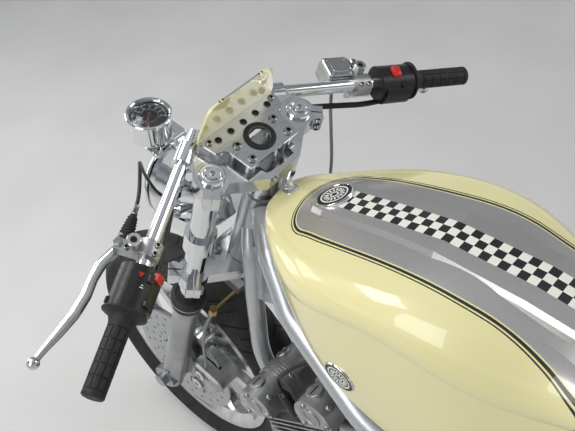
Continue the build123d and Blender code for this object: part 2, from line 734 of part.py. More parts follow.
cradle_path = places([(cradle_front_x, 58, cradle_front_z),
                      (cradle_front_x - cradle_slope * (cradle_front_z - rail_z), 60, rail_z), (-70, 62, rail_z), (-140, 74, 205),
                      (-165, 118, 265), (-176, pivot_y, 330)])
cradle_bends = [60, 90, 50, 40]
cradle_bar = bent_tube(cradle_path, cradle_bends, down_tube_radius)
stand_x = -112
stand_z = 132
stand_tube_radius = 13
lug_y = 60
lug_thickness = 10
with BuildPart() as cradle_rail:
    with BuildSketch(side_view(lug_y + lug_thickness / 2)):
        with Locations((stand_x, stand_z)):
            Circle(stand_tube_radius + 8)
        with Locations((stand_x + 14, rail_z)):
            Circle(stand_tube_radius + 5)
        make_hull()
    extrude(amount=lug_thickness)
    add(cradle_bar)
    with BuildSketch(side_view(lug_y + 40)):
        with Locations((stand_x, stand_z)):
            Circle(stand_tube_radius + running_gap)
    extrude(amount=80, mode=Mode.SUBTRACT)
keep_both(cradle_rail.part, "cradle_rails")

# Seat rails with their stays
seat_base_z = 740
seat_base_thickness = 10
rail_back_z = seat_base_z - rail_radius - running_gap
stay_radius = 11
seat_rail_path = places([(-20, 132, 606), (-150, 110, 652), (-480, 98, rail_back_z), (-655, 70, rail_back_z)])
seat_rail_bends = [90, 120]
seat_bar = bent_tube(seat_rail_path, seat_rail_bends, rail_radius)
stay_bar = round_bar(place(-460, 100, rail_back_z - 4), place(-215, pivot_y, 400), stay_radius)
with BuildPart() as seat_rail:
    add(seat_bar)
    add(stay_bar)
    add(main_bar, mode=Mode.SUBTRACT)
keep_both(seat_rail.part, "seat_rails")

# Pivot plates that join the main tubes, the cradle rails and the stays
plate_thickness = 22
shaft_radius = 10
with BuildPart() as pivot_plate:
    with BuildSketch(side_view(pivot_y + plate_thickness / 2)):
        with BuildLine():
            Polyline((-140, 436), (-140, 300), (-165, 268), (-225, 268), (-252, 300), (-252, 400), (-232, 436), close=True)
        make_face()
        with Locations((pivot_x, pivot_z)):
            Circle(shaft_radius + running_gap, mode=Mode.SUBTRACT)
    extrude(amount=plate_thickness)
    add(main_bar, mode=Mode.SUBTRACT)
    add(cradle_bar, mode=Mode.SUBTRACT)
    add(stay_bar, mode=Mode.SUBTRACT)
keep_both(pivot_plate.part, "pivot_plates")

# Swingarm from its pivot to the rear axle, with the two bolts that run through it
arm_y = 105
arm_width = 24
arm_half_height = 25
arm_tail = 38
pivot_half = 103
pivot_head_radius = 17
axle_head_radius = 16
head_width = 14
bobbin_ahead = 148
bobbin_radius = 4
bobbin_depth = 18
swing_pivot = place(pivot_x, 0, pivot_z)
rear_axle_point = Vector(rear_axle_x, 0, rear_axle_z)
arm_run = (rear_axle_point - swing_pivot).length
arm = Plane(origin=swing_pivot, x_dir=rear_axle_point - swing_pivot, z_dir=(rear_axle_point - swing_pivot).cross(Vector(0, 1, 0)) * -1)
bobbin = arm.from_local_coords((arm_run - bobbin_ahead, 0, 0))
with BuildPart() as swingarm:
    for side in (1, -1):
        with BuildSketch(shifted(arm, 0, 0, -arm_half_height)):
            with BuildLine():
                Polyline((10, side * 79), (10, side * pivot_half), (110, side * (arm_y + arm_width / 2)),
                         (arm_run + arm_tail, side * (arm_y + arm_width / 2)), (arm_run + arm_tail, side * (arm_y - arm_width / 2)),
                         (110, side * (arm_y - arm_width / 2)), close=True)
            make_face()
        extrude(amount=2 * arm_half_height)
    with BuildSketch(across(swing_pivot.X, -pivot_half, swing_pivot.Z)):
        Circle(24)
    extrude(amount=2 * pivot_half)
    with BuildSketch(across(swing_pivot.X, -pivot_half - 1, swing_pivot.Z)):
        Circle(shaft_radius + running_gap)
    extrude(amount=2 * pivot_half + 2, mode=Mode.SUBTRACT)
    with BuildSketch(across(rear_axle_x, -140, rear_axle_z)):
        Circle(axle_radius + running_gap)
    extrude(amount=280, mode=Mode.SUBTRACT)
    for side in (1, -1):
        middle = side * (arm_y + arm_width / 2 - bobbin_depth / 2)
        with BuildSketch(across(bobbin.X, middle - bobbin_depth / 2, bobbin.Z)):
            Circle(bobbin_radius)
        extrude(amount=bobbin_depth, mode=Mode.SUBTRACT)
keep(swingarm.part, "swingarm")
bolts = (
    # x, z, shank radius, head radius, half length, head width
    (swing_pivot.X, swing_pivot.Z, shaft_radius, pivot_head_radius, pivot_y + plate_thickness / 2 + 12, 12),
    (rear_axle_x, rear_axle_z, axle_radius, axle_head_radius, arm_y + arm_width / 2 + head_width, head_width),
)
through_bolts = []
for x, z, shank, head, half, width in bolts:
    through_bolts.append(turned([(0, -half), (head, -half), (head, width - half), (shank, width - half), (shank, half - width),
                                 (head, half - width), (head, half), (0, half)], across(x, 0, z)))
keep_all(through_bolts, "through_bolts")

# Rear shocks between the arms and the seat rails
shock_y = 142
shock_eye_radius = 18
shock_eye_half = 12
shock_pin_radius = 7
shock_ahead = 60
shock_foot = arm.from_local_coords((arm_run - shock_ahead, 0, 10))
shock_foot = Vector(shock_foot.X, shock_y, shock_foot.Z)
shock_head = place(-470, shock_y, rail_back_z - 9)
shock_axis = Plane(origin=shock_foot, z_dir=shock_head - shock_foot)
shock_length = (shock_head - shock_foot).length
with BuildPart() as shock:
    add(turned([(0, 0), (13, 0), (20, 26), (20, 40), (28, 42), (28, 60), (24, 62), (24, shock_length - 70),
                (28, shock_length - 68), (28, shock_length - 50), (20, shock_length - 48), (20, shock_length - 26),
                (13, shock_length), (0, shock_length)], shock_axis))
    for eye in (shock_foot, shock_head):
        with BuildSketch(across(eye.X, shock_y - shock_eye_half, eye.Z)):
            Circle(shock_eye_radius)
        extrude(amount=2 * shock_eye_half)
        with BuildSketch(across(eye.X, arm_y, eye.Z)):
            Circle(shock_pin_radius)
        extrude(amount=shock_y - arm_y + 22)
    with BuildSketch(shifted(arm, 0, 0, -arm_half_height)):
        with Locations((arm_run - shock_ahead, arm_y), (arm_run - shock_ahead, -arm_y)):
            Rectangle(190, arm_width)
    extrude(amount=2 * arm_half_height, mode=Mode.SUBTRACT)
    add(seat_bar, mode=Mode.SUBTRACT)
keep_both(shock.part, "rear_shocks")

# Engine: crankcase with its deck square to the cylinders
deck_height = 110
block_top = 215
head_top = 285
case_view = side_view(0)
deck_front = case_view.to_local_coords(cylinder.from_local_coords(Vector(98, 0, deck_height)))
deck_rear = case_view.to_local_coords(cylinder.from_local_coords(Vector(-78, 0, deck_height)))
chain_y = sprocket_y
sprocket_x = -60
sprocket_z = 340
chain_pocket_y = 66
pocket_x = 20
case_lug_y = 61
with BuildPart() as crankcase:
    with BuildSketch(side_view(case_half_width)):
        with BuildLine():
            Polyline((235, 205), (258, 260), (deck_front.X, deck_front.Y), (deck_rear.X, deck_rear.Y), (20, 425), (-60, 412),
                     (-140, 400), (-158, 330), (-150, 240), (-100, 196), (180, 190), close=True)
        make_face()
    extrude(amount=2 * case_half_width)
    with BuildSketch(side_view(case_half_width)):
        with Locations((pocket_x - 110, 320)):
            Rectangle(220, 260)
    extrude(amount=case_half_width - chain_pocket_y, mode=Mode.SUBTRACT)
    for y in (case_lug_y, -case_lug_y):
        for x in (160, -30):
            with BuildSketch(level(rail_z)):
                with Locations((x, y)):
                    Rectangle(40, 24)
            extrude(amount=40)
    add(cradle_bar, mode=Mode.SUBTRACT)
    mirror(cradle_bar, about=Plane.XZ, mode=Mode.SUBTRACT)
keep(crankcase.part, "crankcase")
cover_depth = 58
cover_round = 12
sprocket_cover_depth = 18
with BuildPart() as alternator_cover:
    with BuildSketch(side_view(case_half_width + cover_depth)):
        with Locations((crank_x, crank_z)):
            Circle(78)
    extrude(amount=cover_depth)
    fillet(alternator_cover.faces().sort_by(Axis.Y)[-1].edges(), cover_round)
with BuildPart() as sprocket_cover:
    with BuildSketch(side_view(case_half_width + sprocket_cover_depth)):
        with BuildLine():
            Polyline((pocket_x, 412), (pocket_x, 215), (-80, 215), (-135, 260), (-135, 390), (-90, 412), close=True)
        make_face()
    extrude(amount=sprocket_cover_depth + 10)
    chamfer(sprocket_cover.faces().sort_by(Axis.Y)[-1].edges(), 6)
keep(sprocket_cover.part, "sprocket_cover")
with BuildPart() as clutch_cover:
    with BuildSketch(side_view(-case_half_width)):
        with Locations((20, 300)):
            Circle(95)
        with Locations((crank_x, crank_z)):
            Circle(72)
        make_hull()
    extrude(amount=cover_depth)
    fillet(clutch_cover.faces().sort_by(Axis.Y)[0].edges(), cover_round)
keep_all((alternator_cover.part, clutch_cover.part), "engine_covers")

# Cylinder block and head with cooling fins, and the two cam boxes with their ribs
fin_thickness = 3
fin_pitch = 10.5
block_depth = 140
head_depth = 180
with BuildPart() as cylinder_block:
    with BuildSketch(shifted(cylinder, 10, 0, deck_height)):
        Rectangle(block_depth, 2 * barrel_half_width - 24)
    extrude(amount=block_top - deck_height)
    for fin in range(9):
        with BuildSketch(shifted(cylinder, 10, 0, deck_height + 12 + fin * fin_pitch)):
            RectangleRounded(block_depth + 28, 2 * barrel_half_width, 12)
        extrude(amount=fin_thickness)
keep(cylinder_block.part, "cylinder_block")
with BuildPart() as cylinder_head:
    with BuildSketch(shifted(cylinder, 0, 0, block_top)):
        Rectangle(head_depth, 2 * barrel_half_width - 10)
    extrude(amount=head_top - block_top)
    for fin in range(6):
        with BuildSketch(shifted(cylinder, 0, 0, block_top + 6 + fin * fin_pitch)):
            RectangleRounded(head_depth + 16, 2 * head_half_width - 20, 10)
        extrude(amount=fin_thickness)
keep(cylinder_head.part, "cylinder_head")
cam_x = 88
cam_half_width = 40
cam_wall_height = 28
cam_height = 60
rib_height = 3
rib_width = 3
cam_ribs = (62, 69, 76, 83, 90)
with BuildPart() as cam_boxes:
    for x in (cam_x, -cam_x):
        with BuildSketch(engine_view(head_half_width)):
            with BuildLine():
                Polyline((x - cam_half_width, head_top + cam_wall_height), (x - cam_half_width, head_top),
                         (x + cam_half_width, head_top), (x + cam_half_width, head_top + cam_wall_height))
                ThreePointArc((x - cam_half_width, head_top + cam_wall_height), (x, head_top + cam_height),
                              (x + cam_half_width, head_top + cam_wall_height))
            make_face()
        extrude(amount=2 * head_half_width)
        for y in cam_ribs:
            for side in (1, -1):
                with BuildSketch(engine_view(side * y + rib_width / 2)):
                    with BuildLine():
                        Polyline((x - cam_half_width - rib_height, head_top + cam_wall_height), (x - cam_half_width - rib_height, head_top),
                                 (x + cam_half_width + rib_height, head_top),
                                 (x + cam_half_width + rib_height, head_top + cam_wall_height))
                        ThreePointArc((x - cam_half_width - rib_height, head_top + cam_wall_height),
                                      (x, head_top + cam_height + rib_height),
                                      (x + cam_half_width + rib_height, head_top + cam_wall_height))
                    make_face()
                extrude(amount=rib_width)
keep(cam_boxes.part, "cam_boxes")

# Front sprocket and chain
sprocket_small = 38
chain_width = 18
chain_depth = 12
front_sprocket_step = chain_y - chain_pocket_y
keep(turned([(0, -front_sprocket_step), (14, -front_sprocket_step), (14, -sprocket_half), (sprocket_small, -sprocket_half),
             (sprocket_small, sprocket_half), (0, sprocket_half)], across(datum_x + sprocket_x, chain_y, datum_z + sprocket_z)),
     "front_sprocket")
chain_back_x = rear_axle_x - datum_x
chain_back_z = rear_axle_z - datum_z
with BuildPart() as chain:
    with BuildSketch(side_view(chain_y + chain_width / 2)):
        with Locations((sprocket_x, sprocket_z)):
            Circle(sprocket_small + running_gap + chain_depth)
        with Locations((chain_back_x, chain_back_z)):
            Circle(sprocket_radius + running_gap + chain_depth)
        make_hull()
    extrude(amount=chain_width)
    with BuildSketch(side_view(chain_y + chain_width / 2)):
        with Locations((sprocket_x, sprocket_z)):
            Circle(sprocket_small + running_gap)
        with Locations((chain_back_x, chain_back_z)):
            Circle(sprocket_radius + running_gap)
        make_hull()
    extrude(amount=chain_width, mode=Mode.SUBTRACT)
keep(chain.part, "chain")

# Carburettors with their open filters, behind the head
cylinder_y = (105, 35, -35, -105)
intake_x = 60
intake_z = 550
intake_length = 140
throat_radius = 22
filter_radius = 28
filter_length = 60
with BuildPart() as carburettors:
    for y in cylinder_y:
        with BuildSketch(Plane(origin=place(intake_x, y, intake_z), z_dir=(1, 0, 0))):
            Circle(throat_radius)
        extrude(amount=intake_length)
        with BuildSketch(level(intake_z - 40)):
            with Locations((intake_x + 50, y)):
                Rectangle(46, 46)
        extrude(amount=62)
        with BuildSketch(level(intake_z - 62)):
            with Locations((intake_x + 50, y)):
                Circle(18)
        extrude(amount=118)
    with BuildSketch(Plane(origin=place(intake_x + 40, -cylinder_y[0], intake_z + 10), x_dir=(1, 0, 0), z_dir=(0, 1, 0))):
        Rectangle(12, 12)
    extrude(amount=2 * cylinder_y[0])
    with BuildSketch(shifted(cylinder, 0, 0, block_top)):
        Rectangle(head_depth + 16, 2 * head_half_width - 20)
    extrude(amount=head_top + cam_height - block_top, mode=Mode.SUBTRACT)
keep(carburettors.part, "carburettors")
with BuildPart() as filters:
    for y in cylinder_y:
        add(turned([(0, 0), (filter_radius - 4, 0), (filter_radius, 4), (filter_radius, filter_length), (0, filter_length)],
                   Plane(origin=place(intake_x - filter_length, y, intake_z), z_dir=(1, 0, 0))))
keep(filters.part, "air_filters")

# Exhaust: two headers on each side, a collector and a silencer
header_radius = 18
port_height = 240
port = cylinder.from_local_coords(Vector(head_depth / 2 + 8 + running_gap, 0, port_height))
headers = (
    # port's y, bend's y, y under the engine, y at the collector
    (35, 56, 102, 118),
    (105, 120, 142, 138),
)
muffler_start = place(60, 128, 150)
muffler_end = place(-640, 192, 262)
muffler_axis = Plane(origin=muffler_start, z_dir=muffler_end - muffler_start)
collector_length = 70
with BuildPart() as header_pair:
    for port_y, bend_y, low_y, end_y in headers:
        add(bent_tube([Vector(port.X, port_y, port.Z), Vector(port.X + 26, port_y, port.Z - 15)] + places(
            [(334, bend_y, 330), (312, low_y, 190), (230, low_y, 146), (130, end_y, 142), (50, end_y, 150)]),
            [24, 150, 70, 90, 90], header_radius))
    add(turned([(0, -collector_length), (24, -collector_length), (34, -40), (34, 0), (0, 0)], muffler_axis))
    with BuildSketch(muffler_axis):
        Circle(90)
    extrude(amount=120, mode=Mode.SUBTRACT)
keep_both(header_pair.part, "headers")
muffler_length = (muffler_end - muffler_start).length
muffler_radius = 46
outlet_radius = 20
outlet_depth = 80
with BuildPart() as muffler:
    add(turned([(0, 0), (30, 0), (30, 60), (26, 160), (muffler_radius, 260), (muffler_radius, muffler_length - 60),
                (38, muffler_length), (outlet_radius, muffler_length), (outlet_radius, muffler_length - outlet_depth),
                (0, muffler_length - outlet_depth)], muffler_axis))
keep_both(muffler.part, "mufflers")

# Fuel tank, seated on the main tubes, with the raised spine along its top
tank_sections = (
    # x, top half width, crown z, top edge z, widest half width, its z, bottom half width, bottom z
    (354, 26, 938, 933, 42, 912, 36, 882),
    (330, 54, 943, 935, 71, 906, 60, 850),
    (285, 80, 951, 939, 106, 898, 90, 815),
    (225, 104, 966, 950, 140, 898, 128, 790),
    (110, 126, 984, 973, 158, 918, 144, 706),
    (30, 122, 993, 982, 157, 918, 143, 680),
    (-90, 82, 982, 970, 138, 880, 128, 682),
    (-180, 72, 968, 946, 112, 870, 100, 720),
    (-262, 50, 935, 918, 80, 862, 70, 780),
)
spine_sections = (
    # x, half width, top z
    (276, 22, 956),
    (262, 34, 964),
    (236, 42, 973),
    (122, 44, 990),
    (35, 50, 1000),
    (-100, 54, 990),
    (-180, 54, 974),
    (-262, 40, 941),
)
spine_foot = 24
with BuildPart() as fuel_tank:
    for x, top_y, crown, edge, wide_y, wide_z, low_y, low_z in tank_sections:
        shoulder = (top_y + 0.76 * (wide_y - top_y), edge - 0.26 * (edge - wide_z))
        flank = ((wide_y + low_y) / 2 + 0.28 * (wide_y - low_y), (wide_z + low_z) / 2)
        with BuildSketch(Plane(origin=place(x, 0, 0), x_dir=(0, 1, 0), z_dir=(1, 0, 0))):
            with BuildLine():
                ThreePointArc((-top_y, edge), (0, crown), (top_y, edge))
                ThreePointArc((top_y, edge), shoulder, (wide_y, wide_z))
                ThreePointArc((wide_y, wide_z), flank, (low_y, low_z))
                Line((low_y, low_z), (-low_y, low_z))
                ThreePointArc((-low_y, low_z), (-flank[0], flank[1]), (-wide_y, wide_z))
                ThreePointArc((-wide_y, wide_z), (-shoulder[0], shoulder[1]), (-top_y, edge))
            make_face()
    loft()
with BuildPart() as spine:
    for x, half, top in spine_sections:
        with BuildSketch(Plane(origin=place(x, 0, 0), x_dir=(0, 1, 0), z_dir=(1, 0, 0))):
            with BuildLine():
                ThreePointArc((-half + 6, top - 2), (0, top), (half - 6, top - 2))
                Polyline((half - 6, top - 2), (half, top - 9), (half, top - spine_foot), (-half, top - spine_foot),
                         (-half, top - 9), (-half + 6, top - 2))
            make_face()
    loft(ruled=True)
with BuildPart() as whole_tank:
    add(fuel_tank.part)
    add(spine.part)
    for side in (1, -1):
        tube_seat = [Vector(point.X, side * point.Y, point.Z) for point in main_path]
        add(bent_tube(tube_seat, main_bends, main_tube_radius + running_gap), mode=Mode.SUBTRACT)
keep(whole_tank.part, "fuel_tank")

# Spark plug caps between the cam boxes, with their leads up to the tank's underside
cap_radius = 10
cap_length = 52
lead_radius = 3.5
plug_leads = []
for y in (128, 45, -45, -128):
    side = 1 if y > 0 else -1
    run_y = 0.45 * y + side * 18
    foot = shifted(cylinder, 0, y, head_top + running_gap)
    lead_route = [foot.from_local_coords((0, 0, cap_length - 10)), foot.from_local_coords((0, -side * 2, cap_length + 24)),
                  place(286, y - side * 12, 652), place(246, run_y, 674), place(204, run_y - side * 4, 694),
                  place(162, run_y - side * 10, 752)]
    with BuildPart() as plug_lead:
        add(bent_tube(lead_route, cord_bends(lead_route), lead_radius))
        add(turned([(0, 0), (cap_radius, 0), (cap_radius, cap_length - 8), (cap_radius - 4, cap_length), (0, cap_length)], foot))
        add(whole_tank.part, mode=Mode.SUBTRACT)
    plug_leads.append(plug_lead.part)
keep_all(plug_leads, "plug_leads")
print("lead bend radii", [round(bend) for bend in cord_bends(lead_route)])

# Seat base, cushion, tail cowl and tail light
cushion_z = seat_base_z + seat_base_thickness + running_gap
with BuildPart() as seat_base:
    with BuildSketch(level(seat_base_z)):
        with BuildLine():
            Polyline((-278, 70), (-340, 100), (-700, 112), (-790, 70), (-790, -70), (-700, -112), (-340, -100), (-278, -70),
                     close=True)
        make_face()
    extrude(amount=seat_base_thickness)
keep(seat_base.part, "seat_base")
with BuildPart() as seat_cushion:
    with BuildSketch(level(cushion_z)):
        with BuildLine():
            Polyline((-282, 68), (-340, 98), (-590, 108), (-590, -108), (-340, -98), (-282, -68), close=True)
        make_face()
    extrude(amount=50, taper=6)
keep(seat_cushion.part, "seat_cushion")
cowl_sections = (
    # x, half width, wall height, top height
    (-592, 110, 44, 104),
    (-640, 110, 50, 112),
    (-720, 96, 44, 92),
    (-788, 60, 30, 52),
)
with BuildPart() as tail_cowl:
    for x, half, wall, top in cowl_sections:
        with BuildSketch(Plane(origin=place(x, 0, cushion_z), x_dir=(0, 1, 0), z_dir=(1, 0, 0))):
            with BuildLine():
                Polyline((-half * 0.94, wall), (-half, 0), (half, 0), (half * 0.94, wall))
                ThreePointArc((-half * 0.94, wall), (0, top), (half * 0.94, wall))
            make_face()
    loft()
keep(tail_cowl.part, "tail_cowl")
lamp_height = 26
with BuildPart() as tail_light:
    with BuildSketch(Plane(origin=place(-760, 0, cushion_z + lamp_height), x_dir=(0, 1, 0), z_dir=(-1, 0, 0))):
        RectangleRounded(80, 26, 9)
    extrude(amount=44)
    add(tail_cowl.part, mode=Mode.SUBTRACT)
keep(tail_light.part, "tail_light")

# Battery box between the main tubes
box_half_width = pivot_y - main_tube_radius - running_gap
with BuildPart() as battery_box:
    with BuildSketch(side_view(box_half_width)):
        with BuildLine():
            Polyline((-70, 560), (-70, 440), (-190, 440), (-190, 560), close=True)
        make_face()
    extrude(amount=2 * box_half_width)
keep(battery_box.part, "battery_box")

# Footrests on the pivot plates, with their foot levers
footrest_x = -235
footrest_z = 300
footrest_length = 105
pedal_y = pivot_y + plate_thickness / 2
pedal_thickness = 8
pedal_reach = 128
with BuildPart() as footrest:
    with BuildSketch(across(datum_x + footrest_x, pedal_y, datum_z + footrest_z)):
        Circle(12)
    extrude(amount=footrest_length)
    with BuildSketch(side_view(pedal_y + 4 + pedal_thickness)):
        with Locations((footrest_x, footrest_z)):
            Circle(18)
        with Locations((footrest_x + pedal_reach, footrest_z - 12)):
            Circle(9)
        make_hull()
    extrude(amount=pedal_thickness)
    with BuildSketch(side_view(pedal_y + 54)):
        with Locations((footrest_x + pedal_reach, footrest_z - 12)):
            Circle(8)
    extrude(amount=50)
keep_both(footrest.part, "footrests")

# Rear caliper over the rear disc
rear_caliper_x = 92
with BuildPart() as rear_caliper:
    with BuildSketch(across(rear_axle_x + rear_caliper_x, -100, rear_axle_z - 80)):
        RectangleRounded(60, 80, 10)
    extrude(amount=54)
    with BuildSketch(Plane(origin=(rear_axle_x, running_gap + arm_width / 2 - arm_y, rear_axle_z), x_dir=(1, 0, 0), z_dir=(0, -1, 0))):
        with Locations((rear_caliper_x, -30)):
            Rectangle(40, 90)
    extrude(amount=-6)
    with BuildSketch(across(rear_axle_x, rear_disc_y - 2, rear_axle_z)):
        Circle(rear_disc_radius + 5)
    extrude(amount=disc_thickness + 4, mode=Mode.SUBTRACT)
keep(rear_caliper.part, "rear_caliper")

# Centre stand: two legs on a cross tube, with feet ahead of the pivot
stand_foot_x = -92
stand_foot_y = 120
stand_foot_height = 12
stand_tube_half = 112
with BuildPart() as centre_stand:
    with BuildSketch(across(datum_x + stand_x, -stand_tube_half, datum_z + stand_z)):
        Circle(stand_tube_radius)
    extrude(amount=2 * stand_tube_half)
    for side in (1, -1):
        add(round_bar(place(stand_x, side * 98, stand_z), Vector(datum_x + stand_foot_x, side * stand_foot_y, stand_foot_height - 2),
                      11))
        with BuildSketch(Plane(origin=(datum_x + stand_foot_x, side * stand_foot_y, 0))):
            RectangleRounded(50, 30, 6)
        extrude(amount=stand_foot_height)
keep(centre_stand.part, "centre_stand")
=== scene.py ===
"""A cafe racer motorcycle, dressed over its CAD frame.

Tables and local frames are in millimetres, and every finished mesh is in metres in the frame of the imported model.
"""
from math import cos, pi, radians, sin

import bmesh
import bpy
import numpy as np
from mathutils import Matrix, Vector


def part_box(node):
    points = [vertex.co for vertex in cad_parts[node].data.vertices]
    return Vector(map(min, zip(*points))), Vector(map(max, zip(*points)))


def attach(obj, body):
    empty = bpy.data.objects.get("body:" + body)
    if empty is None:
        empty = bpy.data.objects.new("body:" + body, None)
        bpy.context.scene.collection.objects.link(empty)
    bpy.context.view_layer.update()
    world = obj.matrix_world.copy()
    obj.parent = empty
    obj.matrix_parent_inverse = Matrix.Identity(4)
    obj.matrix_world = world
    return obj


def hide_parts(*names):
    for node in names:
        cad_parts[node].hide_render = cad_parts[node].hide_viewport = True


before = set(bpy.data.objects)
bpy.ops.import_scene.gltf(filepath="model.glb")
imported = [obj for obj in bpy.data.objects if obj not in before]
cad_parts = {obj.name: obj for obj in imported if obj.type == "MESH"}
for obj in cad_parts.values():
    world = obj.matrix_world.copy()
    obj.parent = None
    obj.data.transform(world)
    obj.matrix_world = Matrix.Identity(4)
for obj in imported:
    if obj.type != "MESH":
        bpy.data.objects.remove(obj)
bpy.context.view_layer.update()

bl_info = {
    "name": "Cafe racer motorcycle",
    "version": (1, 0, 0),
    "blender": (4, 5, 0),
    "location": "View3D > Sidebar > Cafe racer",
    "description": "Dresses the CAD frame of a cafe racer motorcycle",
    "category": "Object",
}

MM = 0.001


# Local frames

def frame_at(origin, ahead, up):
    """A local frame: z along up, x along ahead made square to it, and y their cross product."""
    z = np.asarray(up, float) / np.linalg.norm(up)
    x = np.asarray(ahead, float) - np.dot(ahead, z) * z
    x = x / np.linalg.norm(x)
    return np.asarray(origin, float), np.array([x, np.cross(z, x), z])


def put(place, points):
    """Local millimetres to metres in the model's frame: origin plus the sum of each coordinate times its axis."""
    origin, axes = place
    return (origin + np.asarray(points, float) @ axes) * MM


def moved(place, x, y, z):
    """The same directions, with the origin moved to local x, y, z."""
    origin, axes = place
    return origin + np.array([x, y, z], float) @ axes, axes


def facing(spot, side):
    """A local frame that faces the bike's left (1) or its right (-1)."""
    return frame_at(spot, (1, 0, 0), (0, side, 0))


FORK = frame_at((392.36, 0, 1001.37), (0.906308, 0, 0.422618), (-0.422618, 0, 0.906308))
BAR = frame_at((304.75, 440, 899.17), (0.827284, 0.459507, 0.323193), (-0.37373, 0.879687, -0.294069))
CLOCK = frame_at((614.86, 35, 995.87), (0.970296, 0, 0.241922), (-0.241922, 0, 0.970296))
LAMP = frame_at((618.36, 0, 831.87), (0, 0, 1), (1, 0, 0))
ENGINE = frame_at((144.96, 0, 273.97), (0.866025, 0, -0.5), (0.5, 0, 0.866025))
FRONT_AXLE = facing((724, 0, 302), 1)
REAR_AXLE = facing((-706, 0, 326), 1)
# Where the drawing's own origin lies
DATUM = np.array([1.96, 0.0, -16.03])
# Fork legs and chain from the middle plane, a wheel's bead seat, a disc's holes and the chain's pitch
LEG_Y, CHAIN_LINE = 100, 78
RIM_SEAT, HOLE_RADIUS, CHAIN_PITCH = 226.3, 3.6, 15.875
# The materials by their short names, filled in once the settings are known
FINISHES = {}


# Surfaces as arrays

def quads(rows, columns, wrap_rows=False, wrap_columns=False):
    """The faces of a grid of points, rows by columns, as four corners each."""
    r = np.arange(rows if wrap_rows else rows - 1)
    c = np.arange(columns if wrap_columns else columns - 1)
    i, j = (a.ravel() for a in np.meshgrid(r, c, indexing="ij"))
    n, m = (i + 1) % rows, (j + 1) % columns
    return np.stack([i * columns + j, n * columns + j, n * columns + m, i * columns + m], axis=1)


def lathe(profile, place, sides=48, finish=0):
    """Radius and height pairs turned about z: x = r cos a, y = r sin a, z = h."""
    profile = np.asarray(profile, float)
    a = np.arange(sides) * 2 * pi / sides
    r, h = profile[:, :1], profile[:, 1:]
    points = np.stack([r * np.cos(a), r * np.sin(a), h + 0 * a], axis=2).reshape(-1, 3)
    return put(place, points), quads(len(profile), sides, wrap_columns=True), finish


def swept(place, radius, turn, height, wrap_rows=False):
    """Rows of points about z, each with its own radius: x = r cos a, y = r sin a, z = h."""
    points = np.stack([radius * np.cos(turn), radius * np.sin(turn), height + 0 * radius], axis=2)
    return put(place, points.reshape(-1, 3)), quads(*radius.shape, wrap_rows=wrap_rows, wrap_columns=True), 0


def stacked(levels, place, finish=0, wrap_rows=False):
    """Outlines with as many points as each other, each at its own height, joined in the order given."""
    rings = [np.concatenate([outline, np.full((len(outline), 1), height)], axis=1) for outline, height in levels]
    faces = quads(len(rings), len(rings[0]), wrap_rows=wrap_rows, wrap_columns=True)
    return put(place, np.concatenate(rings)), faces, finish


def carried(path, outline, lean, finish=0):
    """An outline carried along a path, closed at both ends.

    Point = path + u (t x lean) + v (t x lean x t), with t the way that the path runs.
    """
    path = np.asarray(path, float)
    outline = np.asarray(outline, float)
    step = np.gradient(path, axis=0)
    t = step / np.linalg.norm(step, axis=1, keepdims=True)
    side = np.cross(t, np.asarray(lean, float))
    side = side / np.linalg.norm(side, axis=1, keepdims=True)
    top = np.cross(side, t)
    points = path[:, None] + outline[None, :, :1] * side[:, None] + outline[None, :, 1:] * top[:, None]
    first, last = (np.repeat(end, len(outline), 1) for end in (path[:1, None], path[-1:, None]))
    points = np.concatenate([first, points, last])
    return points.reshape(-1, 3) * MM, quads(len(points), len(outline), wrap_columns=True), finish


def circle(radius, sides=16):
    """A round outline: u = r cos a, v = r sin a."""
    a = np.arange(sides) * 2 * pi / sides
    return np.stack([radius * np.cos(a), radius * np.sin(a)], axis=1)


def round_box(width, depth, corner, sides=6):
    """A rectangle's outline with round corners: four quarter circles about its inner corners."""
    a = np.linspace(0, pi / 2, sides)
    arcs = []
    for k, (sx, sy) in enumerate(((1, 1), (-1, 1), (-1, -1), (1, -1))):
        turn = a + k * pi / 2
        arcs.append(np.stack([sx * (width / 2 - corner) + corner * np.cos(turn),
                              sy * (depth / 2 - corner) + corner * np.sin(turn)], axis=1))
    return np.concatenate(arcs)


def block(outline, levels, place, finish=0):
    """An outline raised through levels of (height, how far it is drawn in), closed at both ends."""
    outline = np.asarray(outline, float)
    size = np.abs(outline).max(0)
    rings = [np.zeros((len(outline), 2))]
    heights = [levels[0][0]]
    for height, inset in levels:
        rings.append(outline * (1 - inset / size))
        heights.append(height)
    rings.append(np.zeros((len(outline), 2)))
    heights.append(levels[-1][0])
    points = np.concatenate([np.stack(rings), np.repeat(np.array(heights)[:, None, None], len(outline), 1)], axis=2)
    return put(place, points.reshape(-1, 3)), quads(len(rings), len(outline), wrap_columns=True), finish


def mirrored(part):
    """The same part across the bike's middle plane, with its faces turned round."""
    points = part[0] * np.array([1, -1, 1])
    return points, part[1][:, ::-1], part[2]


def both(parts):
    """Parts on the left, and their mirror images on the right."""
    return list(parts) + [mirrored(part) for part in parts]


def stamped(parts, places):
    """Copies of parts that are drawn about a local origin, one at each place."""
    made = []
    for points, faces, finish in parts:
        for origin, axes in places:
            made.append(((origin + points / MM @ axes) * MM, faces, finish))
    return made


HOME = (np.zeros(3), np.eye(3))


def hex_bolt(across=12, head=6, washer=8.5):
    """A hexagon head with a domed chamfer on a round washer."""
    r = across / 2 / cos(pi / 6)
    return [lathe([(0, 0), (washer, 0), (washer, 1.4), (0, 1.4)], HOME, 20),
            lathe([(0, 1.4), (r, 1.4), (r, head - 0.8), (r - 1.2, head), (0, head)], HOME, 6)]


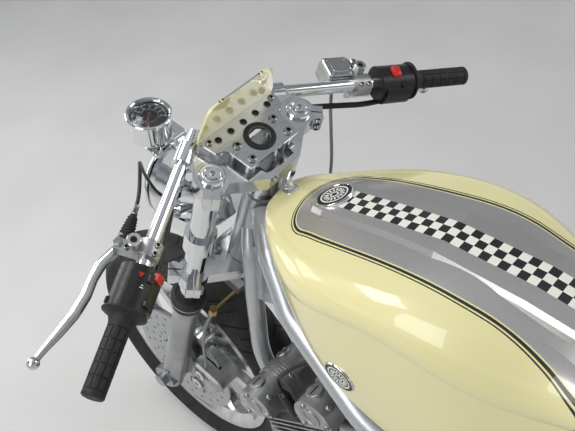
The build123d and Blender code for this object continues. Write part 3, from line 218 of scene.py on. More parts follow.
def socket_bolt(radius=6, head=5, hexagon=2.6):
    """A domed head with a hexagonal socket sunk in its top; the socket takes the second finish, which in most pieces is
    black: painted shade in the recess.
    """
    return [lathe([(0, 0), (radius, 0), (radius, head * 0.45), (radius * 0.86, head * 0.8), (hexagon * 1.25, head),
                   (hexagon * 1.16, head), (hexagon * 1.16, head - 0.2)], HOME, 24),
            # The socket's cup takes the second finish; where that is black it is painted shade in the recess.
            lathe([(hexagon * 1.16, head), (hexagon * 1.1, head - 2.4), (0, head - 2.4)], HOME, 6, 1)]


# Objects

def linked(name, data):
    """A new object of the scene."""
    made = bpy.data.objects.new(name, data)
    bpy.context.scene.collection.objects.link(made)
    return made


def piece(name, parts, finishes, body, replaces=(), sharp=38):
    """One object at the origin from parts, each with the number of its finish, welded and with normals outwards."""
    start, points, faces, finish = 0, [], [], []
    for part_points, part_faces, part_finish in parts:
        points.append(part_points)
        faces.append(part_faces + start)
        finish.append(np.full(len(part_faces), part_finish))
        start += len(part_points)
    mesh = bpy.data.meshes.new(name)
    mesh.from_pydata(np.concatenate(points).tolist(), [], np.concatenate(faces).tolist())
    mesh.polygons.foreach_set("material_index", np.concatenate(finish).astype(np.int32))
    work = bmesh.new()
    work.from_mesh(mesh)
    bmesh.ops.remove_doubles(work, verts=work.verts, dist=3e-6)
    bmesh.ops.recalc_face_normals(work, faces=work.faces)
    work.to_mesh(mesh)
    work.free()
    mesh.polygons.foreach_set("use_smooth", np.ones(len(mesh.polygons), bool))
    mesh.set_sharp_from_angle(angle=radians(sharp))
    made = linked(name, mesh)
    for short in finishes:
        mesh.materials.append(FINISHES[short])
    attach(made, body)
    if replaces:
        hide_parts(*replaces)
    return made


# Colours and nodes

def linear(hex_colour):
    """An sRGB hex colour as the linear RGBA that a shader wants."""
    channels = [int(hex_colour[i:i + 2], 16) / 255 for i in (1, 3, 5)]
    return tuple(c / 12.92 if c <= 0.04045 else ((c + 0.055) / 1.055) ** 2.4 for c in channels) + (1.0,)


def add(tree, kind, inputs=(), **settings):
    """Add one node, set its settings, and give each named input a value or a link from another node's output."""
    made = tree.nodes.new(kind)
    for key, value in settings.items():
        setattr(made, key, value)
    for key, value in dict(inputs).items():
        if isinstance(value, bpy.types.NodeSocket):
            tree.links.new(value, made.inputs[key])
        else:
            made.inputs[key].default_value = value
    return made


def worked(tree, operation, *values):
    """The result of one sum on numbers."""
    return add(tree, "ShaderNodeMath", enumerate(values), operation=operation).outputs[0]


def vector(tree, operation, *values, output=0):
    """The result of one sum on vectors."""
    return add(tree, "ShaderNodeVectorMath", enumerate(values), operation=operation).outputs[output]


def mixed(tree, share, first, second):
    """Two colours mixed by a share from 0 to 1."""
    return add(tree, "ShaderNodeMix", {"Factor": share, 6: first, 7: second}, data_type="RGBA").outputs[2]


def mottled(tree, where, millimetres, low, high, detail=3.0, stretch=(1, 1, 1)):
    """A soft pattern of patches of one size, spread between two values."""
    scaled = add(tree, "ShaderNodeMapping", {"Vector": where, "Scale": stretch})
    patches = add(tree, "ShaderNodeTexNoise", {"Vector": scaled.outputs[0], "Scale": 1 / (millimetres * MM), "Detail": detail})
    return add(tree, "ShaderNodeMapRange", {"Value": patches.outputs["Fac"], "From Min": 0.32, "From Max": 0.68,
                                            "To Min": low, "To Max": high}).outputs[0]


def raised(tree, surface, height, depth_mm, strength):
    """A bump of a height pattern, its full depth in millimetres."""
    bump = add(tree, "ShaderNodeBump", {"Height": height, "Distance": depth_mm * MM, "Strength": strength})
    tree.links.new(bump.outputs[0], surface.inputs["Normal"])


def tinted(tree, surface, share, first, second):
    """The base colour mixed between two colours by a share from 0 to 1."""
    tree.links.new(mixed(tree, share, linear(first), linear(second)), surface.inputs["Base Color"])


def finish_of(name, colour, metallic, roughness, haze=None, tint=None, grain=None, **sockets):
    """A material, its nodes and the Object coordinates that its patterns read.

    Haze is a patch size and two roughnesses, tint is a patch size and two colours, and grain is a patch size with the
    depth and strength of its bump. Sizes are in millimetres.
    """
    material = bpy.data.materials.new(name)
    material.use_nodes = True
    tree = material.node_tree
    surface = tree.nodes["Principled BSDF"]
    where = add(tree, "ShaderNodeTexCoord").outputs["Object"]
    sockets.update({"Base Color": linear(colour), "Metallic": metallic, "Roughness": roughness})
    for key, value in sockets.items():
        surface.inputs[key.replace("_", " ")].default_value = value
    if haze:
        tree.links.new(mottled(tree, where, *haze), surface.inputs["Roughness"])
    if tint:
        tinted(tree, surface, mottled(tree, where, tint[0], 0, 1), *tint[1:])
    if grain:
        raised(tree, surface, mottled(tree, where, grain[0], 0, 1, 2), *grain[1:])
    return material, tree, surface, where


def striped(name, edge_table, nose, checker, pins, face, cream, silver):
    """Two-pack lacquer: cream, with a silver middle between pinstripes and a checker along it, deep gloss under clear.

    The edge table gives the middle zone's half width in millimetres at places along the bike. Ahead of the nose the zone
    ends in half an ellipse: distance = root of (1.5 times the length past the nose, squared, plus the width squared).
    The face is a point and a direction, and only what lies ahead of it is silver.
    """
    material, tree, surface, where = finish_of(name, "#ebe6b4", 0.0, 0.34, Coat_Weight=1.0, Coat_Roughness=0.04)
    split = add(tree, "ShaderNodeSeparateXYZ", {"Vector": where})
    along = split.outputs["X"]
    across = worked(tree, "ABSOLUTE", split.outputs["Y"])
    beyond = worked(tree, "MAXIMUM", worked(tree, "SUBTRACT", along, nose * MM), 0.0)
    reach = add(tree, "ShaderNodeCombineXYZ", {"X": beyond, "Y": across}).outputs[0]
    reach = vector(tree, "LENGTH", vector(tree, "MULTIPLY", reach, (1.5, 1.0, 0.0)), output="Value")
    low, high, most = edge_table[0][0], edge_table[-1][0], 200
    share = add(tree, "ShaderNodeMapRange", {"Value": along, "From Min": low * MM, "From Max": high * MM})
    curve = add(tree, "ShaderNodeFloatCurve", {"Value": share.outputs[0]})
    spots = [((x - low) / (high - low), half / most) for x, half in edge_table]
    points = curve.mapping.curves[0].points
    points[0].location, points[1].location = spots[:2]
    for spot in spots[2:]:
        points.new(*spot)
    curve.mapping.update()
    past = worked(tree, "SUBTRACT", reach, worked(tree, "MULTIPLY", curve.outputs[0], most * MM))
    inside = worked(tree, "LESS_THAN", past, 0.0)
    ahead = 1.0
    if face:
        depth = vector(tree, "DOT_PRODUCT", vector(tree, "SUBTRACT", where, face[0]), face[1], output="Value")
        ahead = worked(tree, "GREATER_THAN", depth, 0.0)
        inside = worked(tree, "MULTIPLY", inside, ahead)
    flake = mixed(tree, mottled(tree, where, 0.9, 0.0, 1.0, detail=2), silver, linear("#c9c6c3"))
    colour = mixed(tree, inside, cream, flake)
    metal = inside
    if checker:
        half, front = checker
        square = 2 * half / 3 * MM
        flat = vector(tree, "MULTIPLY", vector(tree, "ADD", where, (0.0, square / 2, 0.0)), (1 / square, 1 / square, 0.0))
        board = add(tree, "ShaderNodeTexChecker", {"Vector": flat, "Color1": linear("#070707"),
                                                   "Color2": linear("#efece0"), "Scale": 1.0})
        on = worked(tree, "MULTIPLY", worked(tree, "LESS_THAN", across, half * MM),
                    worked(tree, "LESS_THAN", along, front * MM))
        colour = mixed(tree, on, colour, board.outputs["Color"])
        metal = worked(tree, "MULTIPLY", inside, worked(tree, "SUBTRACT", 1.0, on))
    for start, end in pins:
        line = worked(tree, "MULTIPLY", worked(tree, "GREATER_THAN", past, start * MM),
                      worked(tree, "LESS_THAN", past, end * MM))
        colour = mixed(tree, worked(tree, "MULTIPLY", line, ahead), colour, linear("#060606"))
    tree.links.new(colour, surface.inputs["Base Color"])
    tree.links.new(worked(tree, "MULTIPLY", metal, 0.75), surface.inputs["Metallic"])
    raised(tree, surface, mottled(tree, where, 6, 0, 1), 0.02, 0.5)
    return material


def drilled(name, centre, rings, count):
    """Ground disc steel with rings of drilled holes that are not cut but painted near black as shade: each hole is a
    circle in polar cells round the axle.
    """
    material, tree, surface, where = finish_of(name, "#a9abad", 1.0, 0.22)
    centred = add(tree, "ShaderNodeMapping", {"Vector": where, "Location": [-c * MM for c in centre]})
    split = add(tree, "ShaderNodeSeparateXYZ", {"Vector": centred.outputs[0]})
    x, z = split.outputs["X"], split.outputs["Z"]
    angle = worked(tree, "ARCTAN2", z, x)
    radius = worked(tree, "SQRT", worked(tree, "ADD", worked(tree, "POWER", x, 2.0), worked(tree, "POWER", z, 2.0)))
    hole_shade = 0.0
    for k, ring in enumerate(rings):
        cell = worked(tree, "FRACT", worked(tree, "MULTIPLY_ADD", angle, count / (2 * pi), 10 + k / 3))
        arc = worked(tree, "MULTIPLY_ADD", cell, 2 * pi * ring * MM / count, -pi * ring * MM / count)
        off = worked(tree, "SUBTRACT", radius, ring * MM)
        away = worked(tree, "ADD", worked(tree, "POWER", arc, 2.0), worked(tree, "POWER", off, 2.0))
        hole_shade = worked(tree, "MAXIMUM", hole_shade, worked(tree, "LESS_THAN", away, (HOLE_RADIUS * MM) ** 2))
    # Each hole is painted near black and not metal: painted shade where the disc is drilled through.
    tinted(tree, surface, hole_shade, "#b1b3b5", "#0a0a0b")
    tree.links.new(worked(tree, "SUBTRACT", 1.0, hole_shade), surface.inputs["Metallic"])
    return material


def make_finishes(settings):
    """Every finish of the machine, by a short name."""
    made = {}
    paints = (
        ("tank", "cream lacquer, silver top and checker",
         [(-262, 112), (-196, 99), (-147, 86), (-96, 81), (-22, 84), (97, 80), (200, 75), (245, 70), (360, 70)], 248, (21, 220),
         ((2, 6.4), (8.6, 10.6)), ((-0.262, 0, 0.905), (0.7071, 0, 0.7071))),
        ("screen", "cream lacquer, silver band", [(0, 38), (300, 38), (900, 38)], 900, None, ((0, 3.2), (6.4, 9.6)),
         (tuple(moved(FORK, 48.6, 0, 0)[0] * MM), tuple(FORK[1][0]))),
        ("tail", "cream lacquer, tail stripes", [(-800, 50), (-700, 62), (-590, 68)], 0, (21, -560), ((2, 6.4), (8.6, 10.6)),
         None),
    )
    for short, *values in paints:
        made["lacquer_" + short] = striped(*values, tuple(settings.cream), tuple(settings.silver))
    made["disc_front"] = drilled("ground brake disc, front", FRONT_AXLE[0], (78, 100, 122), 22)
    made["disc_rear"] = drilled("ground brake disc, rear", REAR_AXLE[0], (74, 94, 113), 20)
    plain = {
        # Plate and castings rubbed up: nearly a mirror, with faint haze where hands touch
        "buffed": (("buffed aluminium", "#d9dadb", 1.0, 0.14), (18, 0.09, 0.22), (30, "#cfd0d1", "#e2e3e3"), (1.2, 0.012, 0.5)),
        # An even grey grain that scatters light, darker in patches
        "cast": (("bead blasted cast aluminium", "#b0b1b0", 1.0, 0.4), (12, 0.34, 0.5), (26, "#9fa09f", "#bebfbe"),
                 (1.4, 0.12, 0.6)),
        # A dark and bright mirror with a trace of polish haze
        "chrome": (("bright chrome plate", "#e4e5e7", 1.0, 0.06), (35, 0.035, 0.1), None, None),
        # Fine turning marks and a grey sheen
        "steel": (("ground steel", "#a3a5a7", 1.0, 0.27), None, (10, "#96989a", "#b3b5b7"), (0.9, 0.03, 0.5)),
        # Satin with fine orange peel
        "black": (("satin black powder coat", "#161617", 0.0, 0.42), (14, 0.34, 0.5), None, (1.6, 0.05, 0.6)),
        # Soft black with a greyish bloom
        "rubber": (("moulded black rubber", "#191919", 0.0, 0.62), None, (9, "#141414", "#232322"), (1.1, 0.06, 0.6)),
        # Darker than its dust, which settles in patches
        "tyre": (("road tyre rubber", "#1b1b1c", 0.0, 0.78), None, (22, "#171718", "#2c2a27"), (1.5, 0.12, 0.6)),
        # The faint sparkle of a spark eroded mould
        "nylon": (("moulded black nylon", "#121213", 0.0, 0.38), (6, 0.3, 0.46), None, (0.9, 0.06, 0.7)),
        # Red buttons and needles, a little uneven in colour
        "red": (("red moulded acetal", "#c3221b", 0.0, 0.35), None, (5, "#b81d17", "#cc2c22"), None),
        # Flat white that covers in one coat
        "ink": (("white printing ink", "#e9e8e2", 0.0, 0.5), None, (4, "#e2e1da", "#f0efea"), None),
        # Cables and leads with a dull gloss
        "vinyl": (("black vinyl sleeve", "#151516", 0.0, 0.36), (7, 0.28, 0.46), None, None),
        # Warm yellow unions and pipe
        "brass": (("turned brass", "#b9a063", 1.0, 0.28), None, (6, "#a98f55", "#c9b172"), None),
        # Slight cloudiness, almost matt
        "floor": (("pale resin floor", "#dcdbd8", 0.0, 0.7), None, (420, "#d8d7d4", "#e0dfdc"), None),
    }
    for short, (look, haze, tint, grain) in plain.items():
        made[short] = finish_of(*look, haze, tint, grain)[0]

    # Water clear, with a hardly seen ripple
    made["glass"] = finish_of("pressed clear glass", "#f4f8fa", 0.0, 0.03, (30, 0.02, 0.05), Transmission_Weight=1.0,
                              IOR=1.52)[0]

    # Silver two-pack paint on tube: fine flake under clear lacquer, a soft pearly highlight
    made["silver_tube"], tree, surface, where = finish_of("silver flake paint on steel tube", "#b3b6ba", 0.7, 0.3,
                                                          Coat_Weight=0.8, Coat_Roughness=0.06)
    tinted(tree, surface, mottled(tree, where, 0.8, 0, 1, 2), "#a2a5aa", "#c6c9cc")
    raised(tree, surface, mottled(tree, where, 5, 0, 1), 0.02, 0.5)

    # Sheet brushed across the bike: long hair lines that stretch each highlight
    made["brushed"], tree, surface, where = finish_of("brushed aluminium sheet", "#c9cacb", 1.0, 0.26)
    lines = mottled(tree, where, 0.7, 0, 1, 2, stretch=(1, 0.03, 1))
    tinted(tree, surface, lines, "#bcbdbe", "#d6d7d8")
    raised(tree, surface, lines, 0.03, 0.6)

    # Lower fork legs: rubbed smooth and left to dull
    made["leg"], tree, surface, where = finish_of("dulled smooth cast aluminium", "#a4a5a7", 0.9, 0.32, grain=(2.2, 0.05, 0.6))
    tinted(tree, surface, mottled(tree, where, 40, 0, 1, stretch=(1, 1, 0.4)), "#96979a", "#afb0b2")

    # Exhaust chrome: heat turns it straw and blue near the ports
    made["exhaust"], tree, surface, where = finish_of("heat tinted chrome plate", "#dcd9d2", 1.0, 0.1)
    high = add(tree, "ShaderNodeSeparateXYZ", {"Vector": where}).outputs["Z"]
    heat = add(tree, "ShaderNodeMapRange", {"Value": high, "From Min": 0.2, "From Max": 0.43}).outputs[0]
    ramp = ramped(tree, heat, (0.0, "#dedfe0"), (1.0, "#7f83a6"), ((0.55, "#dcd3bd"), (0.8, "#c49a5c"), (0.92, "#9a6a78")))
    tree.links.new(ramp, surface.inputs["Base Color"])

    # Cow hide, black, with pebble grain of 1.6 mm drawn a little coarse so that it shows
    made["hide"], tree, surface, where = finish_of("black cow hide", "#171513", 0.0, 0.46, tint=(40, "#12100f", "#25211d"),
                                                   Sheen_Weight=0.15)
    pebbles = add(tree, "ShaderNodeTexVoronoi", {"Vector": where, "Scale": 1 / 0.0026, "Randomness": 1.0},
                  feature="DISTANCE_TO_EDGE")
    edge = add(tree, "ShaderNodeMapRange", {"Value": pebbles.outputs["Distance"], "From Max": 0.22})
    raised(tree, surface, edge.outputs[0], 0.22, 0.8)

    # Tail lens with fine prisms behind the skin
    made["red_lens"], tree, surface, where = finish_of("red acrylic lens", "#9c1210", 0.0, 0.12, Transmission_Weight=0.35,
                                                       IOR=1.49)
    cells(tree, surface, where, (1 / 0.004, 0.0), ("#b01612", "#6f0b0a"), (0.5, 0.7))

    # Oiled filter gauze: a woven wire of 1.8 mm pitch over red brown cloth
    made["gauze"], tree, surface, where = finish_of("oiled filter gauze", "#5b3026", 0.2, 0.55)
    cells(tree, surface, where, (1 / 0.0024, 0.1), ("#8d8d8a", "#3c1d17"), (-0.5, 0.8))

    # Steel braid: crossing strands of 1.3 mm, drawn coarse so that they show, with painted shade in the grooves and a
    # painted highlight on the crowns over a bump of the same pattern
    made["braid"], tree, surface, where = finish_of("braided steel wire", "#9b9c9e", 0.85, 0.35)
    strand_shade_and_relief = add(tree, "ShaderNodeTexWave", {"Vector": where, "Scale": 300.0, "Distortion": 0.5}, bands_direction="DIAGONAL")
    # Dark grooves and light crowns: painted shade and highlight of the strands.
    tinted(tree, surface, strand_shade_and_relief.outputs["Fac"], "#5f6062", "#c2c3c5")
    raised(tree, surface, strand_shade_and_relief.outputs["Fac"], 0.4, 0.7)
    return made


def ramped(tree, value, first, last, between):
    """A colour ramp from places and colours."""
    ramp = add(tree, "ShaderNodeValToRGB", {"Fac": value})
    for element, (at, colour) in zip(ramp.color_ramp.elements, (first, last)):
        element.color = linear(colour)
        element.position = at
    for at, colour in between:
        ramp.color_ramp.elements.new(at).color = linear(colour)
    return ramp.outputs["Color"]


def cells(tree, surface, where, net, colours, relief):
    """Cells of a scale and randomness that give both the colour and the bump."""
    pattern = add(tree, "ShaderNodeTexVoronoi", {"Vector": where, "Scale": net[0], "Randomness": net[1]}).outputs["Distance"]
    tinted(tree, surface, pattern, *colours)
    raised(tree, surface, pattern, *relief)


# The stage

def make_camera():
    """The photograph's view: 575 by 431, worked out from the fork caps, the bars and the tank's marks."""
    ahead = Vector((0.5714, -0.5063, -0.6459)).normalized()
    right = Vector((-0.7421, -0.6549, -0.1430)).normalized()
    data = bpy.data.cameras.new("camera")
    data.sensor_width = 36
    data.lens = 850.2 / 575 * 36
    data.clip_start = 0.01
    camera = linked("camera", data)
    turn = Matrix((right, right.cross(ahead), -ahead)).transposed().to_4x4()
    camera.matrix_world = Matrix.Translation((-0.43867, 0.70408, 1.76038)) @ turn
    bpy.context.scene.camera = camera


def make_stage(settings):
    """A pale floor, four soft panels of light and a surround that is pale at the horizon and greyer above."""
    scene = bpy.context.scene
    made = bpy.data.meshes.new("floor")
    made.from_pydata([(-9, -9, 0), (9, -9, 0), (9, 9, 0), (-9, 9, 0)], [], [(0, 1, 2, 3)])
    made.materials.append(FINISHES["floor"])
    linked("floor", made)
    world = bpy.data.worlds.new("studio")
    scene.world = world
    world.use_nodes = True
    tree = world.node_tree
    light = tree.nodes["Background"]
    where = add(tree, "ShaderNodeTexCoord").outputs["Generated"]
    height = add(tree, "ShaderNodeSeparateXYZ", {"Vector": where}).outputs["Z"]
    sky = ramped(tree, height, (0.08, "#eeeeec"), (0.9, "#c3c6ca"),
                 ((0.2, "#d4d5d6"), (0.32, "#6d7176"), (0.46, "#a9adb1"), (0.66, "#7d8186")))
    tree.links.new(sky, light.inputs["Color"])
    light.inputs["Strength"].default_value = settings.surround
    panels = (
        # name, where, width, height, watts, aimed at
        ("panel_left", (0.2, 2.6, 2.6), 1.6, 2.4, 40, (0.2, 0, 0.7)),
        ("panel_over", (1.5, 0.5, 3.2), 1.6, 0.9, 30, (0.2, 0, 0.8)),
        ("panel_right", (-1.6, -2.2, 2.2), 1.2, 2.0, 20, (0.0, 0, 0.7)),
        ("panel_front", (3.2, 0.6, 1.6), 1.4, 1.8, 20, (0.4, 0, 0.6)),
    )
    for name, place, width, height_m, watts, aim in panels:
        data = bpy.data.lights.new(name, "AREA")
        data.shape = "RECTANGLE"
        data.size = width
        data.size_y = height_m
        data.energy = watts * settings.lamp_level
        turn = (Vector(aim) - Vector(place)).to_track_quat("-Z", "Y").to_matrix().to_4x4()
        linked(name, data).matrix_world = Matrix.Translation(place) @ turn
    scene.view_settings.view_transform = "Standard"


# Finishes of the CAD nodes

NODE_FINISH = {
    "lacquer_tank": "fuel_tank", "lacquer_screen": "flyscreen", "lacquer_tail": "tail_cowl",
    "silver_tube": "main_tubes down_tubes cradle_rails seat_rails headstock swingarm",
    "black": "centre_stand seat_base battery_box rear_shocks", "brushed": "dash_plate", "leg": "fork_sliders",
    "buffed": "pivot_plates top_yoke lower_yoke hand_levers front_rim rear_rim engine_covers",
    "chrome": "fork_caps fork_tubes handlebars headlight lamp_brackets speedometer mufflers",
    "rubber": "dust_seals grips", "steel": "front_axle through_bolts rear_sprocket front_sprocket chain",
    "cast": "front_calipers rear_caliper lever_perches crankcase sprocket_cover cylinder_block cylinder_head cam_boxes "
            "carburettors footrests",
    "disc_front": "front_discs", "disc_rear": "rear_disc", "tyre": "front_tyre rear_tyre", "nylon": "bar_housings",
    "glass": "headlight_lens", "gauze": "air_filters", "exhaust": "headers", "hide": "seat_cushion",
    "red_lens": "tail_light", "braid": "brake_hoses", "vinyl": "control_cables plug_leads",
}


def dress_nodes():
    """Each CAD node takes its real finish in every slot."""
    for finish, names in NODE_FINISH.items():
        for name in names.split():
            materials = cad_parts[name].data.materials
            materials.clear()
            materials.append(FINISHES[finish])


# Wheels

def tyre_surface(axle, outer, half, rim_half, pattern, depth):
    """A tyre: its section's radius and width carried round the axle, less the depth of curved sipes.

    The long sipes follow angle = start + bend (s squared) on each side, and the short ones angle = start + 0.8 bend s,
    with s the share of the half width.
    """
    wall = outer - (outer - (RIM_SEAT - 0.3)) * 0.45
    rise = outer - wall
    curve = (half ** 2 + rise ** 2) / (2 * rise)
    reach = np.arcsin(half / curve)
    a = np.linspace(-reach, reach, 61)
    crown = np.stack([outer - curve + curve * np.cos(a), curve * np.sin(a)], axis=1)
    t = np.linspace(0, 1, 9)[1:, None]
    lip = np.array([RIM_SEAT + 6, rim_half + 1])
    top = np.array([wall, half])
    side = top * (1 - t) ** 2 + (top * 0.45 + lip * 0.55 + np.array([0, 2.0])) * 2 * t * (1 - t) + lip * t ** 2
    right = np.concatenate([side, [(RIM_SEAT, rim_half - 4)]])
    section = np.concatenate([(right * (1, -1))[::-1], crown, right])
    share = np.clip(section[:, 1] / half, -1, 1)
    on_crown = np.zeros(len(section))
    on_crown[len(right):-len(right)] = 1
    columns = 960
    turn = np.arange(columns) * 2 * pi / columns
    count, bend, width = pattern
    pitch = 2 * pi / count
    sunk = np.zeros((len(section), columns))
    for sign, start in ((1, 0.0), (-1, 0.5)):
        for middle, low, high in ((pitch * start + bend * share ** 2, 0.16, 0.94),
                                  (pitch * (start + 0.5) + bend * 0.8 * share, 0.5, 0.8)):
            off = (turn - middle[:, None] + pitch / 2) % pitch - pitch / 2
            within = (share * sign > low) & (share * sign < high)
            sunk = np.maximum(sunk, (1 - np.clip(np.abs(off) * outer / width, 0, 1) ** 4) * within[:, None])
    radius = section[:, :1] - depth * sunk * on_crown[:, None]
    return swept(axle, radius, turn, section[:, 1:], wrap_rows=True)


def make_tyres(settings):
    """Road tyres with curved sipes on both shoulders."""
    for end, axle, outer, half, rim_half, pattern in (("front", FRONT_AXLE, 302, 55, 39, (26, 0.2, 2.6)),
                                                      ("rear", REAR_AXLE, 320, 64, 48, (28, 0.22, 2.8))):
        tyre = tyre_surface(axle, outer, half, rim_half, pattern, settings.tread_depth / MM)
        piece(end + "_tyre_tread", [tyre], ["tyre"], end + "_wheel", [end + "_tyre"], sharp=60)


def ring_of(axle, radius, count, height, start=0.0):
    """Places on a circle about an axle, facing along it: angle = start + 2 pi k / count."""
    made = []
    for angle in start + np.arange(count) * 2 * pi / count:
        out = np.array([cos(angle), sin(angle), 0])
        made.append(frame_at(moved(axle, *(radius * out[:2]), height)[0], out @ axle[1], axle[1][2]))
    return made


def flipped(place):
    """The same place, facing the other way."""
    return place[0], place[1] * [[1], [-1], [-1]]


def make_wheel_details():
    """Disc and hub bolts, sprocket nuts and valve stems."""
    front = []
    for bolt, ring in ((socket_bolt(5.5, 4, 2.4), (48, 6, 46.5)), (socket_bolt(4.6, 3, 2.0), (62, 8, 63.0, 0.2))):
        for axle in (FRONT_AXLE, flipped(FRONT_AXLE)):
            front += stamped(bolt, ring_of(axle, *ring))
    rear = stamped(hex_bolt(11, 6, 8), ring_of(REAR_AXLE, 66, 6, 82.0))
    rear += stamped(socket_bolt(5, 4, 2.2), ring_of(flipped(REAR_AXLE), 64, 6, 81.0))
    valve = [lathe([(0, 0), (4.2, 0), (4.2, 10), (3, 12), (3, 26), (4, 27), (4, 36), (3, 38), (0, 38)], HOME, 16)]
    for end, axle, parts in (("front", FRONT_AXLE, front), ("rear", REAR_AXLE, rear)):
        spot, (x, y, _) = moved(axle, 0, 197, 12)
        parts += stamped(valve, [frame_at(spot, x, -y)])
        # The black finish here only darkens the bolts' sockets: painted shade in their recesses.
        piece(end + "_wheel_fittings", parts, ["steel", "black"], end + "_wheel")


# Fork, yokes and dash

def make_fork_details():
    """Pinch bolts, the lower yoke's lugs with a black sheet of painted shade over each slit, brake unions, dust seals,
    drain screws, caliper plugs and axle ends.
    """
    ahead, across, along = FORK[1]
    steel, buffed, chrome, brass, rubber = 0, 2, 3, 4, 5
    pinch = socket_bolt(5.2, 5, 2.3)
    lug = 0.75 * 28.5
    out = -0.7071 * (ahead + across)
    left = []
    for top in (-6, -297):
        for down in (8, 22):
            corner = moved(FORK, -lug - 9, LEG_Y + lug - 5, top - down)[0] + out * 4
            left += stamped(pinch, [frame_at(corner, along, out)])
    split = frame_at(moved(FORK, 24, LEG_Y + 24, 0)[0], ahead - across, along)
    left.append(block(round_box(30, 22, 4), ((-327, 1), (-325, 0), (-299, 0), (-297, 1)), split, buffed))
    # A thin black sheet across the lug's top where its slit is: painted shade in the gap.
    left.append(block(round_box(2.4, 24, 0.6), ((-297.2, 0), (-296.8, 0)), split, 1))
    for down in (-305, -319):
        left += stamped(pinch, [frame_at(moved(split, 15, 0, down)[0], along, split[1][0])])
    left += stamped(hex_bolt(12, 6, 9), [moved(FORK, -0.6, 40.3, -297)])
    union = moved(FORK, -45, 75, -432)
    left.append(lathe([(0, -9), (8.8, -9), (8.8, 9), (0, 9)], union, 6, brass))
    left.append(carried([moved(union, 0, y, 0)[0] for y in (0, -37, -75.2)], circle(3.2, 12), along, finish=brass))
    left.append(block(round_box(7, 74, 3), ((-1, 0), (3.4, 0), (4.4, 1)), moved(FORK, 12, 37, -297), buffed))
    ring = moved(FORK, 0, LEG_Y, -424)
    left.append(lathe([(21, 12), (33, 12), (34.6, 15), (34.6, 30), (32.6, 34), (27, 36), (23, 33), (21, 31), (21, 12)],
                      ring, 56, rubber))
    left.append(lathe([(33, 22), (35.2, 22), (35.2, 23.6), (33, 23.6), (33, 22)], ring, 56, chrome))
    left += stamped(hex_bolt(11, 5, 7), [frame_at(moved(FORK, 0, LEG_Y + 24, -730)[0], ahead, across)])
    caliper = frame_at((634.3, 62, 326.4), ahead, across)
    for down in (-22, 22):
        face = moved(caliper, 2, -down, 30)
        left.append(lathe([(0, 1.5), (14.2, 1.5), (14.2, 3.4), (11.5, 5), (0, 5)], face, 40, buffed))
        left.append(lathe([(0, 4.8), (5, 4.8), (5, 6.4), (0, 6.4)], face, 6, steel))
    for forward, down in ((24, 34), (24, -34), (-24, -30), (-24, 34)):
        left += stamped(socket_bolt(5.5, 6, 2.6), [moved(caliper, forward * 0.82, -down, 25.5)])
    parts = both(left)
    for side in (1, -1):
        face = facing((724, side * 139.0, 302), side)
        parts.append(lathe([(0, -6), (13, -6), (13, -1.2), (11.6, -0.1), (7, -0.1), (7, -4), (0, -4)], face, 6))
    # Black here darkens the bolts' sockets and the lugs' slits: painted shade.
    piece("fork_fittings", parts, ["steel", "black", "buffed", "chrome", "brass", "rubber"], "steering")


def make_dash_details():
    """Dome bolts, the rubber ring of the big hole, five warning lamps, the stem nut and the cap faces."""
    parts = stamped(socket_bolt(7.2, 5, 2.9), [moved(FORK, x, y, 13) for x in (7, -25) for y in (41, -41)])
    parts += stamped(socket_bolt(5.4, 4, 2.4), [moved(FORK, 38, y, 13) for y in (-70, 70)])
    parts += stamped(hex_bolt(11, 9, 9), [frame_at(moved(FORK, 52, y, 20)[0], FORK[1][2], FORK[1][0]) for y in (-74, 74)])
    eye = moved(FORK, -2.4, 0, 0)
    parts.append(lathe([(17, 8.5), (23.4, 8.5), (24.6, 10), (24.6, 13.2), (26, 13.4), (26, 14.6), (24, 15.8), (20, 15.8),
                        (17, 14.6), (17, 8.5)], eye, 56, 2))
    parts.append(lathe([(16.9, 9), (17.4, 9), (17.4, 15), (16.9, 15), (16.9, 9)], eye, 56))
    for y in (-55.6, -27.8, 0, 27.8, 55.6):
        lamp = moved(FORK, 33, y, 0)
        parts.append(lathe([(5.4, 10), (5.4, 13.5), (6.6, 13.6), (6.8, 13.1), (6.6, 13), (5.4, 12.8)], lamp, 28))
        parts.append(lathe([(0, 11.9), (3, 11.7), (5.3, 10.6), (5.3, 9.6), (0, 9.6)], lamp, 24, 3))
    parts.append(lathe([(0, 0), (17, 0), (17, 3), (15, 3), (15, 10), (13.5, 11.5), (8, 11.5), (8, 7), (0, 7)],
                       moved(FORK, -32, 0, -66), 6))
    for y in (LEG_Y, -LEG_Y):
        cap = moved(FORK, 0, y, 0)
        parts.append(lathe([(12.5, -1.7), (12.6, 0.7), (13.2, 1.0), (14.6, 1.0), (15.2, 0.6), (15.3, -1.6)], cap, 56, 4))
        parts.append(lathe([(0, 4.1), (4.0, 4.1), (4.2, 5.4), (3.4, 6.2), (0, 6.2)], cap, 24))
    # The black finish here only darkens the bolts' sockets: painted shade in their recesses.
    piece("dash_fittings", parts, ["steel", "black", "rubber", "nylon", "chrome"], "steering")


# Speedometer

def slab(place, outline, low, high, finish):
    """A four-sided outline between two heights."""
    points, sides, _ = stacked([(outline, low), (outline, high)], place)
    return points, np.concatenate([sides, [(0, 1, 2, 3), (4, 5, 6, 7)]]), finish


def glyphs(text, size, thickness=0.25):
    """A line of plain figures as a mesh drawn about its own middle, in millimetres."""
    curve = bpy.data.curves.new("figures", "FONT")
    curve.body = text
    curve.size = size
    curve.align_x = "CENTER"
    curve.align_y = "CENTER"
    curve.extrude = thickness / 2
    holder = linked("figures", curve)
    bpy.context.view_layer.update()
    mesh = bpy.data.meshes.new_from_object(holder)
    bpy.data.objects.remove(holder)
    return mesh


